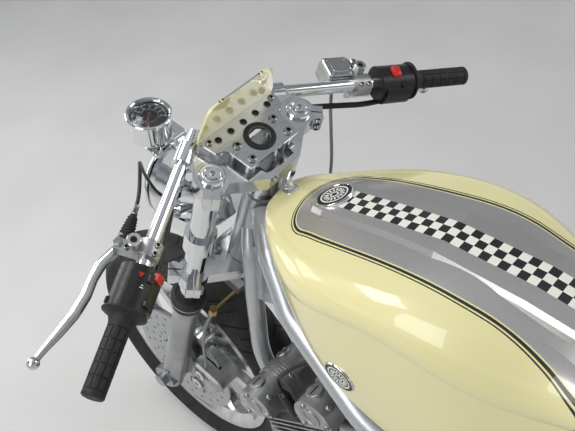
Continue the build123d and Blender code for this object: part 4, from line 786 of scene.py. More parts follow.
def make_clock(settings):
    """The speedometer's dial, marks, figures, needle, bezel and glass."""
    face = moved(CLOCK, 0, 0, -5.6)
    dial = [lathe([(0, 0), (32.8, 0), (32.8, 0.4), (0, 0.4)], face, 64)]
    dial.append(lathe([(15.6, 0.3), (15.6, 0.7), (16.0, 0.7), (16.0, 0.3), (15.6, 0.3)], face, 64, 1))
    swing = np.radians(np.linspace(135, -135, 37)) + settings.dial_turn
    for k, angle in enumerate(swing):
        inner, half = (25.4, 1.0) if k % 4 == 0 else (28.2, 0.5)
        out = np.array([cos(angle), sin(angle)])
        side = half * np.array([-out[1], out[0]])
        dial.append(slab(face, [inner * out - side, inner * out + side, 31.4 * out + side, 31.4 * out - side], 0.42, 0.75, 1))
    needle_turn = settings.dial_turn + radians(128)
    out = np.array([cos(needle_turn), sin(needle_turn)])
    side = np.array([-out[1], out[0]])
    blade = [-8 * out - 1.9 * side, -8 * out + 1.9 * side, 27 * out + 0.9 * side, 27 * out - 0.9 * side]
    dial.append(slab(face, blade, 1.6, 2.2, 2))
    dial.append(lathe([(0, 0.4), (4.2, 0.4), (4.2, 2.6), (3.2, 3.4), (0, 3.4)], face, 28))
    piece("speedometer_dial", dial, ["nylon", "ink", "red"], "steering")
    work = bmesh.new()
    for k, value in enumerate(range(0, 181, 20)):
        mesh = glyphs(str(value), 5.2)
        upright = Matrix.Rotation(settings.dial_turn - pi / 2, 4, "Z")
        angle = swing[k * 4]
        mesh.transform(Matrix.Translation((20.8 * cos(angle), 20.8 * sin(angle), 0.5)) @ upright)
        work.from_mesh(mesh)
    origin, axes = face
    work.transform(Matrix.Translation(origin * MM) @ Matrix((axes * MM).tolist()).transposed().to_4x4())
    joined = bpy.data.meshes.new("speedometer_figures")
    work.to_mesh(joined)
    work.free()
    joined.materials.clear()
    joined.materials.append(FINISHES["ink"])
    made = linked("speedometer_figures", joined)
    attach(made, "steering")
    glass = [lathe([(0, -0.4), (33.5, -0.4), (34.2, -0.9), (34.2, 0.5), (20, 1.3), (0, 1.6)], CLOCK, 64)]
    piece("speedometer_glass", glass, ["glass"], "steering")
    bezel = [lathe([(34.4, -3), (39.3, -3), (40.2, -1.6), (40.2, 0.8), (38.6, 2.6), (36.2, 2.8), (34.4, 1.4), (34.4, -3)],
                   CLOCK, 72)]
    bezel += stamped([lathe([(0, 0), (9.5, 0), (9.5, 5), (8, 7), (0, 7.4)], HOME, 28)], [moved(CLOCK, -38, 20, -56)])
    bezel += stamped(hex_bolt(10, 6, 7), [moved(CLOCK, -18, -30, -52)])
    piece("speedometer_bezel", bezel, ["chrome"], "steering")


# Bars and controls

def grip_surface(place):
    """A grip: radius = 16.5 less 1.2 in the grooves between blocks, five rows along and ten round, with a flared flange."""
    edges = np.linspace(-96, -6, 6)
    along = np.sort(np.concatenate([edges + d for d in (-1.0, -0.5, 0.5, 1.0)] + [(edges[1:] + edges[:-1]) / 2]))
    lines = np.arange(10) * 36.0
    turn = np.radians(np.sort(np.concatenate([lines + d for d in (-3.6, -1.8, 1.8, 3.6, 11, 18, 25)])))
    ring = (np.abs(along[:, None] - edges).min(1) < 0.6)[:, None]
    bars = (np.abs((np.degrees(turn)[:, None] - lines + 180) % 360 - 180).min(1) < 2.0)[None]
    flange = [(11.2, -121), (32.4, -121), (33, -120), (33, -118.4), (31, -117.2), (25, -115), (20.5, -111), (17.8, -105),
              (16.5, -99), (16.5, -97), (11.2, -97), (11.2, -121)]
    end = [(0, -5), (16.5, -5), (16.6, 0.4), (15, 2.2), (12, 3), (0, 3)]
    return [swept(place, 16.5 - 1.2 * (ring | bars), turn, along[:, None]), lathe(flange, place, 64), lathe(end, place, 64)]


def lever_surface(place):
    """A forged lever: an ellipse carried along a bowed line, its two radii read from a short table, and a ball at the end."""
    table = np.array([(44, 15, -222, 7.6, 4.8), (51, 15, -206, 9, 5.2), (60, 15, -186, 9, 5.2), (63, 15, -162, 8, 5.0),
                      (63, 15, -134, 8.6, 5.0), (68, 15, -104, 8.6, 4.8), (78, 15, -72, 7.4, 4.6), (88, 15, -44, 5.8, 4.6),
                      (94, 15, -24, 4.8, 4.4)])
    fine = np.linspace(0, len(table) - 1, 90)
    weights = np.exp(-((fine[:, None] - np.arange(len(table))) / 0.55) ** 2)
    path, radii = np.split(weights / weights.sum(1, keepdims=True) @ table, [3], axis=1)
    path[0], path[-1] = table[0, :3], table[-1, :3]
    t = np.gradient(path, axis=0)
    side = np.cross(t / np.linalg.norm(t, axis=1, keepdims=True), (0, 1, 0))
    a = np.arange(24) * 2 * pi / 24
    section = path[:, None] + radii[:, None, :1] * np.cos(a)[None, :, None] * side[:, None]
    section = section + radii[:, None, 1:] * np.sin(a)[None, :, None] * np.array([0, 1.0, 0])
    points = np.concatenate([np.repeat(path[:1, None], 24, 1), section, np.repeat(path[-1:, None], 24, 1)])
    blade = (put(place, points.reshape(-1, 3)), quads(len(points), 24, wrap_columns=True), 0)
    b = np.linspace(0, pi, 17)
    return [blade, lathe(np.stack([9.2 * np.sin(b), -9.2 * np.cos(b)], axis=1), moved(place, 94, 15, -23), 28)]


def make_controls():
    """Grips, levers, switch buttons, clamp bolts, the reservoir's lid and the clutch cable's boot."""
    piece("grip_rubbers", both(grip_surface(BAR)), ["rubber"], "steering", ["grips"], sharp=50)
    drop = radians(50)
    origin, (ahead, down, along_bar) = BAR
    lowered = (origin, np.array([ahead * cos(drop) + down * sin(drop), down * cos(drop) - ahead * sin(drop), along_bar]))
    levers = lever_surface(BAR) + [mirrored(part) for part in lever_surface(lowered)]
    piece("forged_levers", levers, ["buffed"], "steering", ["hand_levers"], sharp=60)

    def on_pod(degrees, along):
        """A place on the pod's skin, turned about the bar from straight up towards the rider: a circle of 24 about 5, 3."""
        turn = radians(degrees)
        face = -down * cos(turn) - ahead * sin(turn)
        reach = 5 * sin(turn) + 3 * cos(turn) + np.sqrt(24 ** 2 - (5 * cos(turn) - 3 * sin(turn)) ** 2)
        return origin + along_bar * along + face * reach, np.array([np.cross(along_bar, face), along_bar, face])

    screws = stamped(socket_bolt(3.6, 1.8, 1.7), [on_pod(98, -180), on_pod(98, -129)])
    parts = [block(round_box(19, 13, 3), ((-4, 0), (4, 0), (7, 0.8), (7.8, 2.4)), on_pod(68, -178), 1),
             block(np.array([(-4, -3.4), (4, -3.4), (0, 4.2)]), ((-2, 0), (0.6, 0), (0.9, 0.4)), on_pod(16, -172), 1),
             block(round_box(8, 12, 2), ((-4, 0), (9, 0), (13, 1.6)), on_pod(-62, -128)),
             block(round_box(11, 15, 3), ((-3, 0), (2.2, 0), (3.4, 0.8)), on_pod(46, -172)),
             block(round_box(13, 9, 2), ((-3, 0), (3, 0), (4.6, 1)), on_pod(62, -136))] + screws
    for degrees, along, width in ((28, -156, 5), (76, -146, 5), (-12, -172, 6), (84, -130, 5)):
        for shift, share in ((1.8, 1), (-1.8, 0.6)):
            parts.append(block(round_box(width * share, 1.5, 0.5), ((-1, 0), (0.5, 0)),
                               moved(on_pod(degrees, along), 0, shift, 0), 2))
    right = [block(round_box(22, 15, 4), ((-3, 0), (3, 0), (7, 1.5), (8.4, 4)), on_pod(8, -158), 1),
             block(round_box(12, 10, 3), ((-3, 0), (2, 0), (4, 1)), on_pod(56, -146))] + screws
    parts += [mirrored(part) for part in right]
    piece("switches", parts, ["nylon", "red", "ink"], "steering")

    def over_bar(forward, above, along):
        """A place by its distances ahead of the bar, over it and along it, facing up."""
        return moved((origin, np.array([ahead, -down, along_bar])), forward, above, along)[0], frame_at(origin, ahead, -down)[1]

    clamps = []
    for along in (-226, -212):
        clamps += stamped(socket_bolt(4.6, 4.6, 2.2), [over_bar(-13, 13.6, along), over_bar(30, 10, along)])
    clamps.append(lathe([(0, 0), (7, 0), (7, 3), (5, 4.6), (0, 4.6)], over_bar(44, 10, -216), 6))
    clamps.append(lathe([(5.2, -1), (5.6, 1), (9.6, 1), (10.3, 0.4), (10.3, -1), (5.2, -1)], over_bar(20, 28, -219), 40, 2))
    place = over_bar(37, 7, -248)
    lid = [block(round_box(45, 50, 6), ((-2, 0.6), (0, 0), (3, 0), (4.4, 1.4)), place, 3),
           block(round_box(26, 30, 4), ((4, 0), (5.2, 0.8)), place, 3)]
    lid += stamped(socket_bolt(3.6, 2.2, 1.6), [moved(place, -17, 19, 4), moved(place, 17, -19, 4)])
    # The nylon finish here only darkens the bolts' sockets: painted shade in their recesses.
    piece("clamp_fittings", both(clamps) + [mirrored(part) for part in lid], ["steel", "nylon", "buffed", "brushed"],
          "steering")
    boot = frame_at(over_bar(38.2, 0, -231)[0], ahead, ahead * 0.03 - along_bar)
    profile = [(0, -6), (12.6, -6)]
    for k in range(8):
        profile += [(12.8 - k * 0.7, -3.5 + 5 * k), (10.2 - k * 0.6, -1 + 5 * k)]
    boots = [lathe(profile + [(4.6, 38), (0, 38)], boot, 36, 1),
             lathe([(0, 38), (5, 38), (5, 41), (3.8, 42), (3.8, 54), (0, 54)], boot, 6)]
    piece("clutch_adjuster", boots, ["steel", "rubber"], "steering", sharp=60)


# Headlight

def make_headlight():
    """A reflector dish with its bulb shield, and a thin fluted glass: height = dome plus a fine wave across."""
    parts = [lathe([(0, 7.0), (14, 7.0), (30, 8.4), (52, 12.4), (68, 18), (70.5, 18), (72, 6.6), (0, 6.6)], LAMP, 96),
             lathe([(0, 7), (9, 7), (9.6, 15), (8, 18.5), (0, 20)], LAMP, 36),
             lathe([(72.5, 6.4), (84, 3), (84.6, 6), (83.6, 12), (79, 16.5), (74, 17), (72.5, 14), (72.5, 6.4)], LAMP, 112)]
    parts += both(stamped(hex_bolt(17, 8, 12), [facing((558.36, 97.3, 831.87), 1)]))
    piece("headlight_rim_and_reflector", parts, ["chrome"], "steering")
    radius = np.linspace(0, 73.4, 60)[:, None]
    turn = np.arange(160) * 2 * pi / 160
    dome = 18.5 + 6.5 * (1 - (radius / 73.4) ** 2)
    wave = 0.5 * np.cos(radius * np.sin(turn) / 6.0 * 2 * pi) * (radius < 68)
    height = np.concatenate([dome + 0 * wave, (dome - 2.6 + wave)[::-1]])
    glass = swept(LAMP, np.concatenate([radius, radius[::-1]]) + 0 * height, turn, height)
    piece("headlight_glass", [glass], ["glass"], "steering", ["headlight_lens"], sharp=60)


# Tank and seat

def on_surface(node, start, direction):
    """Where a ray first meets a CAD node, with the surface's normal there, in millimetres."""
    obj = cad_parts[node]
    home = obj.matrix_world
    away = home.inverted()
    hit, place, normal, _ = obj.ray_cast(away @ (Vector(start) * MM), (away.to_3x3() @ Vector(direction)).normalized())
    if not hit:
        raise RuntimeError("no surface of " + node + " under the mark")
    return np.array(home @ place) / MM, np.array((home.to_3x3() @ normal).normalized())


def make_tank_details():
    """Bare round badges on the top and both flanks, and the front mounting nut."""
    parts = []
    # A printed bar's rings: height, and the share of its outline that each keeps
    closed = ((1, 0), (1, 1), (2, 1), (2, 0))
    marks = (((243, 0, 1100), (0, 0, -1), 30.0), ((140, 400, 757), (0, -1, 0), 29.0), ((140, -400, 757), (0, 1, 0), 29.0))
    for start, direction, radius in marks:
        spot, normal = on_surface("fuel_tank", start, direction)
        place = frame_at(spot, (1, 0, 0), normal)
        parts.append(lathe([(0, -4), (radius * 0.95, -4), (radius * 0.95, 1.5), (0, 1.8)], place, 72, 1))
        for inner, outer in ((0.66, 0.74), (0.16, 0.24)):
            band = [(inner, 1), (inner, 2), (outer, 2), (outer, 1), (inner, 1)]
            parts.append(lathe(np.array(band) * (radius, 1), place, 60, 2))
        bar = round_box(radius * 0.09, radius * 0.26, radius * 0.03, 3) + (0, radius * 0.45)
        for angle in np.arange(16) * pi / 8:
            turned = bar @ np.array([[cos(angle), sin(angle)], [-sin(angle), cos(angle)]])
            middle = turned.mean(0)
            parts.append(stacked([(middle + (turned - middle) * keep, height) for height, keep in closed], place, 2))
        edge = [(0.92, -4), (1, -4), (1, 1), (0.98, 1.9), (0.94, 1.9), (0.92, 1.4), (0.92, -4)]
        parts.append(lathe(np.array(edge) * (radius, 1), place, 72))
    spot, normal = on_surface("fuel_tank", (337, 0, 1100), (0, 0, -1))
    parts += stamped([lathe([(0, -3), (9, -3), (9, 5), (7.6, 8), (4, 8.8), (0, 9)], HOME, 6),
                      lathe([(0, -3), (13, -3), (13, 1.6), (9, 2.4)], HOME, 32)], [frame_at(spot, (1, 0, 0), normal)])
    piece("tank_badges", parts, ["chrome", "nylon", "ink"], "frame")


def points_of(mesh):
    """A mesh's points as an array."""
    points = np.zeros(len(mesh.vertices) * 3)
    mesh.vertices.foreach_get("co", points)
    return points.reshape(-1, 3)


def make_seat(settings):
    """A padded seat: a crowned shell blown up by cloth pressure, then sewn channels pressed across it.

    Height = base plus crown (1 - s^4), with s the share of the half width, before the simulation swells it.
    """
    low, high = (np.array(corner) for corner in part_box("seat_cushion"))
    x = low[0] + np.linspace(0.006, high[0] - low[0] - 0.006, 62)
    reach = (x - low[0]) / (high[0] - low[0])
    near_end = np.minimum(reach, 1 - reach)
    half = (0.104 - 0.036 * np.clip((reach - 0.45) / 0.55, 0, 1) ** 2.0) * np.clip(near_end * 14, 0.75, 1) - 0.005
    s = np.linspace(-1, 1, 34)
    crown = 0.03 * (1 - s[None] ** 4) + 0.008 * np.clip(1 - reach * 6, 0, 1)[:, None]
    top = low[2] + 0.008 + crown * np.clip(near_end * 9, 0.25, 1)[:, None]
    across = half[:, None] * s[None]
    upper = np.stack([x[:, None] + 0 * top, across, top], axis=2)
    lower = np.stack([x[:, None] + 0 * top, across, 0 * top + low[2] + 0.002], axis=2)[:, ::-1]
    ring = np.concatenate([upper, lower], axis=1)
    first, last = (np.repeat(end.mean(1, keepdims=True), ring.shape[1], 1) for end in (ring[:1], ring[-1:]))
    ring = np.concatenate([first, ring, last])
    part = (ring.reshape(-1, 3), quads(len(ring), ring.shape[1], wrap_columns=True), 0)
    seat = piece("seat_pad", [part], ["hide"], "frame", ["seat_cushion"], sharp=80)
    swell(seat, settings.seat_puff, 0.014)
    points = points_of(seat.data)
    seams = low[0] + (high[0] - low[0]) * np.array([0.2, 0.36, 0.52, 0.68])
    crease = np.exp(-((points[:, :1] - seams) / 0.0045) ** 2).max(1)
    edge = np.clip(1 - (np.abs(points[:, 1]) / 0.078) ** 6, 0, 1) * (points[:, 2] > low[2] + 0.022)
    points[:, 2] = np.maximum(points[:, 2] - 0.006 * crease * edge, low[2] + 0.0005)
    seat.data.vertices.foreach_set("co", points.ravel())
    seat.data.update()
    run = np.linspace(0, 1, 80)
    lines = []
    for line in seams / MM:
        y = (run - 0.5) * 2 * 74
        for shift in (-5.5, 5.5):
            path = np.stack([line + shift + 0 * y, y, 0 * y], axis=1)
            hits = [seat.ray_cast(Vector((p[0] * MM, p[1] * MM, 1.2)), Vector((0, 0, -1)))[1][2] / MM for p in path[::4]]
            path[:, 2] = np.interp(run, run[::4], hits) + 0.1
            lines.append(carried(path, circle(0.7, 6), (0, 0, 1)))
    piece("seat_stitching", lines, ["rubber"], "frame")


def settle(obj, modifier):
    """Keep the mesh as a modifier leaves it, with the same finish, and drop the modifier."""
    finish = obj.data.materials[0]
    mesh = bpy.data.meshes.new_from_object(obj.evaluated_get(bpy.context.evaluated_depsgraph_get()))
    obj.modifiers.remove(modifier)
    obj.data = mesh
    mesh.materials.clear()
    mesh.materials.append(finish)
    return mesh


def swell(obj, pressure, cap):
    """Blow a closed shell up as cloth: remesh it, run twenty steps without gravity, and cap how far each point moves."""
    bpy.context.view_layer.objects.active = obj
    remesh = obj.modifiers.new("even", "REMESH")
    remesh.mode = "VOXEL"
    remesh.voxel_size = 0.006
    rest = points_of(settle(obj, remesh))
    pins = obj.vertex_groups.new(name="held")
    pins.add([int(k) for k in np.nonzero(rest[:, 2] < rest[:, 2].min() + 0.003)[0]], 1.0, "REPLACE")
    cloth = obj.modifiers.new("cloth", "CLOTH")
    cloth.settings.use_pressure = True
    cloth.settings.uniform_pressure_force = pressure
    cloth.settings.effector_weights.gravity = 0
    cloth.settings.quality = 5
    cloth.settings.vertex_group_mass = "held"
    cloth.point_cache.frame_start = 1
    cloth.point_cache.frame_end = 20
    for step in range(1, 21):
        bpy.context.scene.frame_set(step)
    blown = settle(obj, cloth)
    shift = points_of(blown) - rest
    far = np.linalg.norm(shift, axis=1, keepdims=True)
    blown.vertices.foreach_set("co", (rest + shift * np.minimum(1, cap / np.maximum(far, 1e-9))).ravel())
    blown.update()
    obj.vertex_groups.clear()
    bpy.context.scene.frame_set(1)
    smooth = obj.modifiers.new("smooth", "SUBSURF")
    smooth.levels = 1
    smooth.render_levels = 1
    final = settle(obj, smooth)
    final.polygons.foreach_set("use_smooth", np.ones(len(final.polygons), bool))


# Engine, chain, springs and exhaust

def make_engine_details():
    """Bolts and rings of the covers and cam boxes, plugs whose slots are black bars of painted shade, header clamps,
    carburettor caps and filter clips.
    """
    crank, gear = DATUM + (143, 0, 290), DATUM + (20, 0, 300)
    parts = []
    for centre, side, radius, angles in ((crank, 1, 59, range(20, 380, 45)), (gear, -1, 76, range(80, 290, 40)),
                                         (crank, -1, 53, range(-60, 70, 40))):
        spots = [centre + (radius * cos(a), side * 167.6, radius * sin(a)) for a in np.radians(angles)]
        parts += stamped(socket_bolt(5.2, 4, 2.3), [facing(spot, side) for spot in spots])
    for centre, side, r in ((crank, 1, 38), (gear, -1, 50)):
        parts.append(lathe([(0, 0.4), (r, 0.4), (r + 2, -1), (r + 4, 0.8), (r + 8, 0.8), (r + 9, -2), (0, -2)],
                           facing(centre + (0, side * 168, 0), side), 72, 1))
    spots = ((8, 400), (8, 227), (-74, 227), (-123, 266), (-123, 384), (-86, 400))
    parts += stamped(socket_bolt(5, 4, 2.3), [facing(DATUM + (x, 127.6, z), 1) for x, z in spots])

    def on_cam(x, y, degrees):
        """A place on a cam box's crown, an arc of 41 about a centre 19 above the head's top."""
        turn = radians(degrees)
        out = ENGINE[1][2] * cos(turn) + ENGINE[1][0] * sin(turn)
        return frame_at(moved(ENGINE, x, y, 304)[0] + out * 41, (0, 1, 0), out)

    for side in (1, -1):
        for x in (88, -88):
            spots = [moved(ENGINE, x + along, side * 149.8, 285 + up)[0] for along, up in ((-31, 9), (31, 9), (0, 51), (0, 24))]
            parts += stamped(socket_bolt(5.0, 4.6, 2.3), [facing(spot, side) for spot in spots[:3]])
            parts.append(lathe([(0, 0.6), (14, 0.6), (15, 0), (17, 1.8), (18.4, 1.8), (19, -1), (0, -1)],
                               facing(spots[3], side), 44, 1))
    for x in (88, -88):
        for y in (122, -122):
            cap = on_cam(x, y, -12)
            parts.append(lathe([(0, -2), (15.5, -2), (15.5, 2.4), (14.4, 3.4), (0, 3.4)], cap, 44, 1))
            # The slot is not cut: a black bar laid on the cap is painted shade in it.
            parts.append(block(round_box(21, 3.2, 1.2), ((3.2, 0), (3.6, 0)), cap, 2))
        for y in (38, -38):
            well = on_cam(x, y, 9)
            parts.append(lathe([(0, 0.1), (11, 0.1), (12, 2.2), (14.4, 2.2), (15.6, 0), (15.6, -2), (0, -2)], well, 44, 1))
            parts += stamped(hex_bolt(11, 5, 8), [well])
        spots = [(y, turn) for y in (132, 72, 12, -12, -72, -132) for turn in (-66, 66)]
        parts += stamped(socket_bolt(5.4, 5, 2.5), [on_cam(x, y, turn) for y, turn in spots])
    for y in (105, 35, -35, -105):
        face = frame_at((350.09, y, 432.67), (0, 1, 0), (26, 0, -15))
        parts.append(lathe([(18.2, 0), (29, 0), (30, 1), (30, 6), (29, 7), (18.2, 7), (18.2, 0)], face, 40))
        parts += stamped(hex_bolt(9, 8, 4), [moved(face, x, 0, 6.6) for x in (24.5, -24.5)])
        cap = (DATUM + (110, y, 606), np.eye(3))
        parts.append(lathe([(0, 0), (19, 0), (19, 5), (17.4, 8), (13, 9.4), (0, 9.8)], cap, 36, 1))
        parts += stamped(socket_bolt(3, 2, 1.4), [moved(cap, 14, 0, 8), moved(cap, -14, 0, 8)])
        ring = frame_at(DATUM + (22, y, 550), (0, 0, 1), (1, 0, 0))
        parts.append(lathe([(28.2, -5), (29.2, -5), (29.6, -3), (29.6, 3), (29.2, 5), (28.2, 5), (28.2, -5)], ring, 44))
    piece("engine_fittings", parts, ["steel", "cast", "black"], "frame")


def make_chain():
    """Roller chain round both sprockets: side plates shaped like an eight, set along the chain's own path, pins and rollers."""
    small, large = (DATUM + (-60, 0, 340))[[0, 2]], REAR_AXLE[0][[0, 2]]
    near, far = 44.3, 98.3
    gap = small - large
    span = np.hypot(*gap)
    lean = np.arctan2(gap[1], gap[0])
    flare = np.arcsin((far - near) / span)
    straight = np.sqrt(span ** 2 - (far - near) ** 2)
    top_angle, bottom_angle = lean + pi / 2 - flare, lean - pi / 2 + flare
    near_arc = near * (top_angle - bottom_angle)
    far_arc = far * (2 * pi - (top_angle - bottom_angle))
    total = near_arc + far_arc + 2 * straight
    count = int(round(total / CHAIN_PITCH / 2) * 2)
    step = total / count
    s = (np.arange(count) + 0.5) * step

    def out(angle):
        """The direction of an angle in the chain's plane."""
        return np.stack([np.cos(angle), np.sin(angle)], axis=-1)

    def along(value):
        """The path: an arc over the front sprocket, the top run, the arc round the back one and the lower run."""
        value = value[:, None] % total
        upper = np.clip((value - near_arc) / straight, 0, 1)
        lower = np.clip((value - near_arc - straight - far_arc) / straight, 0, 1)
        return np.select(
            [value < near_arc, value < near_arc + straight, value < near_arc + straight + far_arc],
            [small + near * out(bottom_angle + value[:, 0] / near),
             (1 - upper) * (small + near * out(top_angle)) + upper * (large + far * out(top_angle)),
             large + far * out(top_angle + (value[:, 0] - near_arc - straight) / far)],
            (1 - lower) * (large + far * out(bottom_angle)) + lower * (small + near * out(bottom_angle)))

    ends = along(s - step / 2), along(s + step / 2)
    middle = (ends[0] + ends[1]) / 2
    run = ends[1] - ends[0]
    run = run / np.linalg.norm(run, axis=1, keepdims=True)
    lobe = out(np.linspace(-0.42 * pi, 0.42 * pi, 5)) * 6.6 + (step / 2, 0)
    outline = np.concatenate([lobe, [(0, 4.6)], lobe[::-1] * (-1, 1), [(0, -4.6)]])
    normal = np.stack([-run[:, 1], run[:, 0]], axis=1)
    flat = outline[None, :, :1] * run[:, None] + outline[None, :, 1:] * normal[:, None]

    def links(centres, rings, finish):
        """The same ringed shape at many centres: each ring is its place across the bike and its outlines about them."""
        shapes = []
        for y, outlines in rings:
            ring = centres[:, None] + outlines
            shapes.append(np.stack([ring[..., 0], np.full(ring.shape[:2], y), ring[..., 1]], axis=2))
        points = np.stack(shapes, axis=1)
        copies, rows, sides = points.shape[:3]
        faces = quads(rows, sides, wrap_columns=True)[None] + (np.arange(copies) * rows * sides)[:, None, None]
        return points.reshape(-1, 3) * MM, faces.reshape(-1, 4), finish

    parts = []
    for wide in (0, 1):
        chosen = np.arange(count) % 2 == wide
        for side in (1, -1):
            inner = CHAIN_LINE + side * (4.6 + 1.9 * wide)
            outer = inner + side * 1.6
            rings = [(y, flat[chosen] * keep) for y, keep in ((inner, 0), (inner, 1), (outer, 1), (outer, 0))]
            parts.append(links(middle[chosen], rings, 0))
    spokes = out(np.arange(8) * 2 * pi / 8)
    rings = [(CHAIN_LINE + y, spokes * r) for y, r in ((-7.8, 0), (-7.8, 2.6), (-4.6, 2.6), (-4.6, 4.6), (4.6, 4.6), (4.6, 2.6),
                                                       (7.8, 2.6), (7.8, 0))]
    parts.append(links(ends[1], rings, 1))
    piece("roller_chain", parts, ["steel", "cast"], "frame", ["chain"], sharp=30)


def make_springs():
    """Coil springs on the rear shocks: a wire carried along x = r cos a, y = r sin a, z = pitch a."""
    foot, head = np.array([-646.2, 142, 337.15]), np.array([-468.04, 142, 700.67])
    place = frame_at(foot, (0, 1, 0), head - foot)
    turns = 13
    a = np.linspace(0, 2 * pi * turns, turns * 24)
    z = 64 + (np.linalg.norm(head - foot) - 136) * a / a[-1]
    path = put(place, np.stack([25.5 * np.cos(a), 25.5 * np.sin(a), z], axis=1)) / MM
    parts = [carried(path, circle(3.6, 10), head - foot)]
    for eye in (foot, head):
        parts.append(lathe([(0, -2), (11, -2), (11, 5), (9, 6.6), (0, 6.6)], facing(eye + (0, 17, 0), 1), 6))
    piece("shock_springs", both(parts), ["chrome"], "frame", sharp=60)


def make_small_parts():
    """Exhaust clamps and end rings, footrest and pedal rubbers, and the tail light's rim."""
    start, end = np.array([61.96, 128, 133.97]), np.array([-638.04, 192, 245.97])
    axis = frame_at(start, (0, 0, 1), end - start)
    far = np.linalg.norm(end - start)
    left = [lathe([(29.6, 6), (32.4, 6), (32.4, 26), (29.6, 26), (29.6, 6)], axis, 44),
            lathe([(20, far - 4), (20, far + 0.8), (38.4, far + 0.8), (39.4, far - 4), (20, far - 4)], axis, 56),
            lathe([(45.5, far - 84), (46.9, far - 84), (46.9, far - 62), (45.5, far - 62), (45.5, far - 84)], axis, 64)]
    rubber = [(0, 24), (13.2, 24)]
    for k in range(13):
        rubber += [(13.2, 26 + k * 6.0), (15.6, 27.4 + k * 6.0), (15.6, 30 + k * 6.0), (13.2, 31.4 + k * 6.0)]
    rubber += [(13.6, 103), (10, 106), (0, 106)]
    left.append(lathe(rubber, facing(DATUM + (-235, 141, 300), 1), 28, 1))
    left.append(lathe([(0, 16), (10.5, 16), (11, 18), (11, 52), (9, 54.5), (0, 54.5)], facing(DATUM + (-107, 141, 288), 1),
                      24, 1))
    low, high = (np.array(corner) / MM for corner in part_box("tail_light"))
    face = frame_at((low[0], 0, (low[2] + high[2]) / 2), (0, 1, 0), (-1, 0, 0))
    outer, inner = round_box(83, 29, 10), round_box(75, 21, 7)
    rim = stacked([(outer, -12), (outer, 0.6), (outer * 0.98, 1.6), (inner, 1.6), (inner, -12)], face, wrap_rows=True)
    piece("small_fittings", both(left) + [rim], ["chrome", "rubber"], "frame", sharp=45)


# The add-on

class CafeRacerSettings(bpy.types.PropertyGroup):
    """Sizes and colours of what is added over the CAD frame."""
    tread_depth: bpy.props.FloatProperty(name="Tread depth", description="How deep the sipes are cut", default=0.0035,
                                         min=0.0, max=0.006, unit="LENGTH")
    dial_turn: bpy.props.FloatProperty(name="Dial turn", description="How far the dial is turned in its cup", default=0.0,
                                       unit="ROTATION", subtype="ANGLE")
    seat_puff: bpy.props.FloatProperty(name="Seat pressure", description="Air pressure that swells the seat's cover",
                                       default=4.0, min=0.0, max=12.0)
    cream: bpy.props.FloatVectorProperty(name="Cream", description="The lacquer's main colour", subtype="COLOR", size=4,
                                         default=linear("#e8e0a6"))
    silver: bpy.props.FloatVectorProperty(name="Silver", description="The lacquer's metallic middle", subtype="COLOR",
                                          size=4, default=linear("#b3b0ae"))
    surround: bpy.props.FloatProperty(name="Surround", description="Brightness of the pale surround", default=0.85, min=0.0)
    lamp_level: bpy.props.FloatProperty(name="Lamp level", description="Share of the lamps' full power", default=1.0, min=0.0)


def settings_of(context):
    """The scene's sizes and colours, with the finishes made the first time they are asked for."""
    settings = context.scene.cafe_racer
    if not FINISHES:
        FINISHES.update(make_finishes(settings))
    return settings


class CAFERACER_OT_stage(bpy.types.Operator):
    """Put up the floor, the lamps and the surround"""
    bl_idname = "caferacer.stage"
    bl_label = "Stage"

    def execute(self, context):
        make_stage(settings_of(context))
        return {"FINISHED"}


class CAFERACER_OT_nodes(bpy.types.Operator):
    """Give each CAD node its real finish"""
    bl_idname = "caferacer.nodes"
    bl_label = "CAD finishes"

    def execute(self, context):
        settings_of(context)
        dress_nodes()
        return {"FINISHED"}


class CAFERACER_OT_tyres(bpy.types.Operator):
    """Make both tyres with their sipes"""
    bl_idname = "caferacer.tyres"
    bl_label = "Tyres"

    def execute(self, context):
        make_tyres(settings_of(context))
        return {"FINISHED"}


class CAFERACER_OT_wheels(bpy.types.Operator):
    """Make the wheels' bolts and valves"""
    bl_idname = "caferacer.wheels"
    bl_label = "Wheel fittings"

    def execute(self, context):
        settings_of(context)
        make_wheel_details()
        return {"FINISHED"}


class CAFERACER_OT_fork(bpy.types.Operator):
    """Make the fork's and calipers' fittings"""
    bl_idname = "caferacer.fork"
    bl_label = "Fork fittings"

    def execute(self, context):
        settings_of(context)
        make_fork_details()
        return {"FINISHED"}


class CAFERACER_OT_dash(bpy.types.Operator):
    """Make the dash's bolts, lamps and cap rings"""
    bl_idname = "caferacer.dash"
    bl_label = "Dash fittings"

    def execute(self, context):
        settings_of(context)
        make_dash_details()
        return {"FINISHED"}


class CAFERACER_OT_clock(bpy.types.Operator):
    """Make the speedometer's dial, figures, needle and glass"""
    bl_idname = "caferacer.clock"
    bl_label = "Speedometer"

    def execute(self, context):
        make_clock(settings_of(context))
        return {"FINISHED"}


class CAFERACER_OT_controls(bpy.types.Operator):
    """Make the grips, switches and clamp fittings"""
    bl_idname = "caferacer.controls"
    bl_label = "Controls"

    def execute(self, context):
        settings_of(context)
        make_controls()
        return {"FINISHED"}


class CAFERACER_OT_headlight(bpy.types.Operator):
    """Make the headlight's glass, rim and reflector"""
    bl_idname = "caferacer.headlight"
    bl_label = "Headlight"

    def execute(self, context):
        settings_of(context)
        make_headlight()
        return {"FINISHED"}


class CAFERACER_OT_tank(bpy.types.Operator):
    """Make the tank's round badges and nut"""
    bl_idname = "caferacer.tank"
    bl_label = "Tank fittings"

    def execute(self, context):
        settings_of(context)
        make_tank_details()
        return {"FINISHED"}


class CAFERACER_OT_seat(bpy.types.Operator):
    """Make the padded seat and its seams"""
    bl_idname = "caferacer.seat"
    bl_label = "Seat"

    def execute(self, context):
        make_seat(settings_of(context))
        return {"FINISHED"}


class CAFERACER_OT_engine(bpy.types.Operator):
    """Make the engine's bolts, plugs, caps and clamps"""
    bl_idname = "caferacer.engine"
    bl_label = "Engine fittings"

    def execute(self, context):
        settings_of(context)
        make_engine_details()
        return {"FINISHED"}


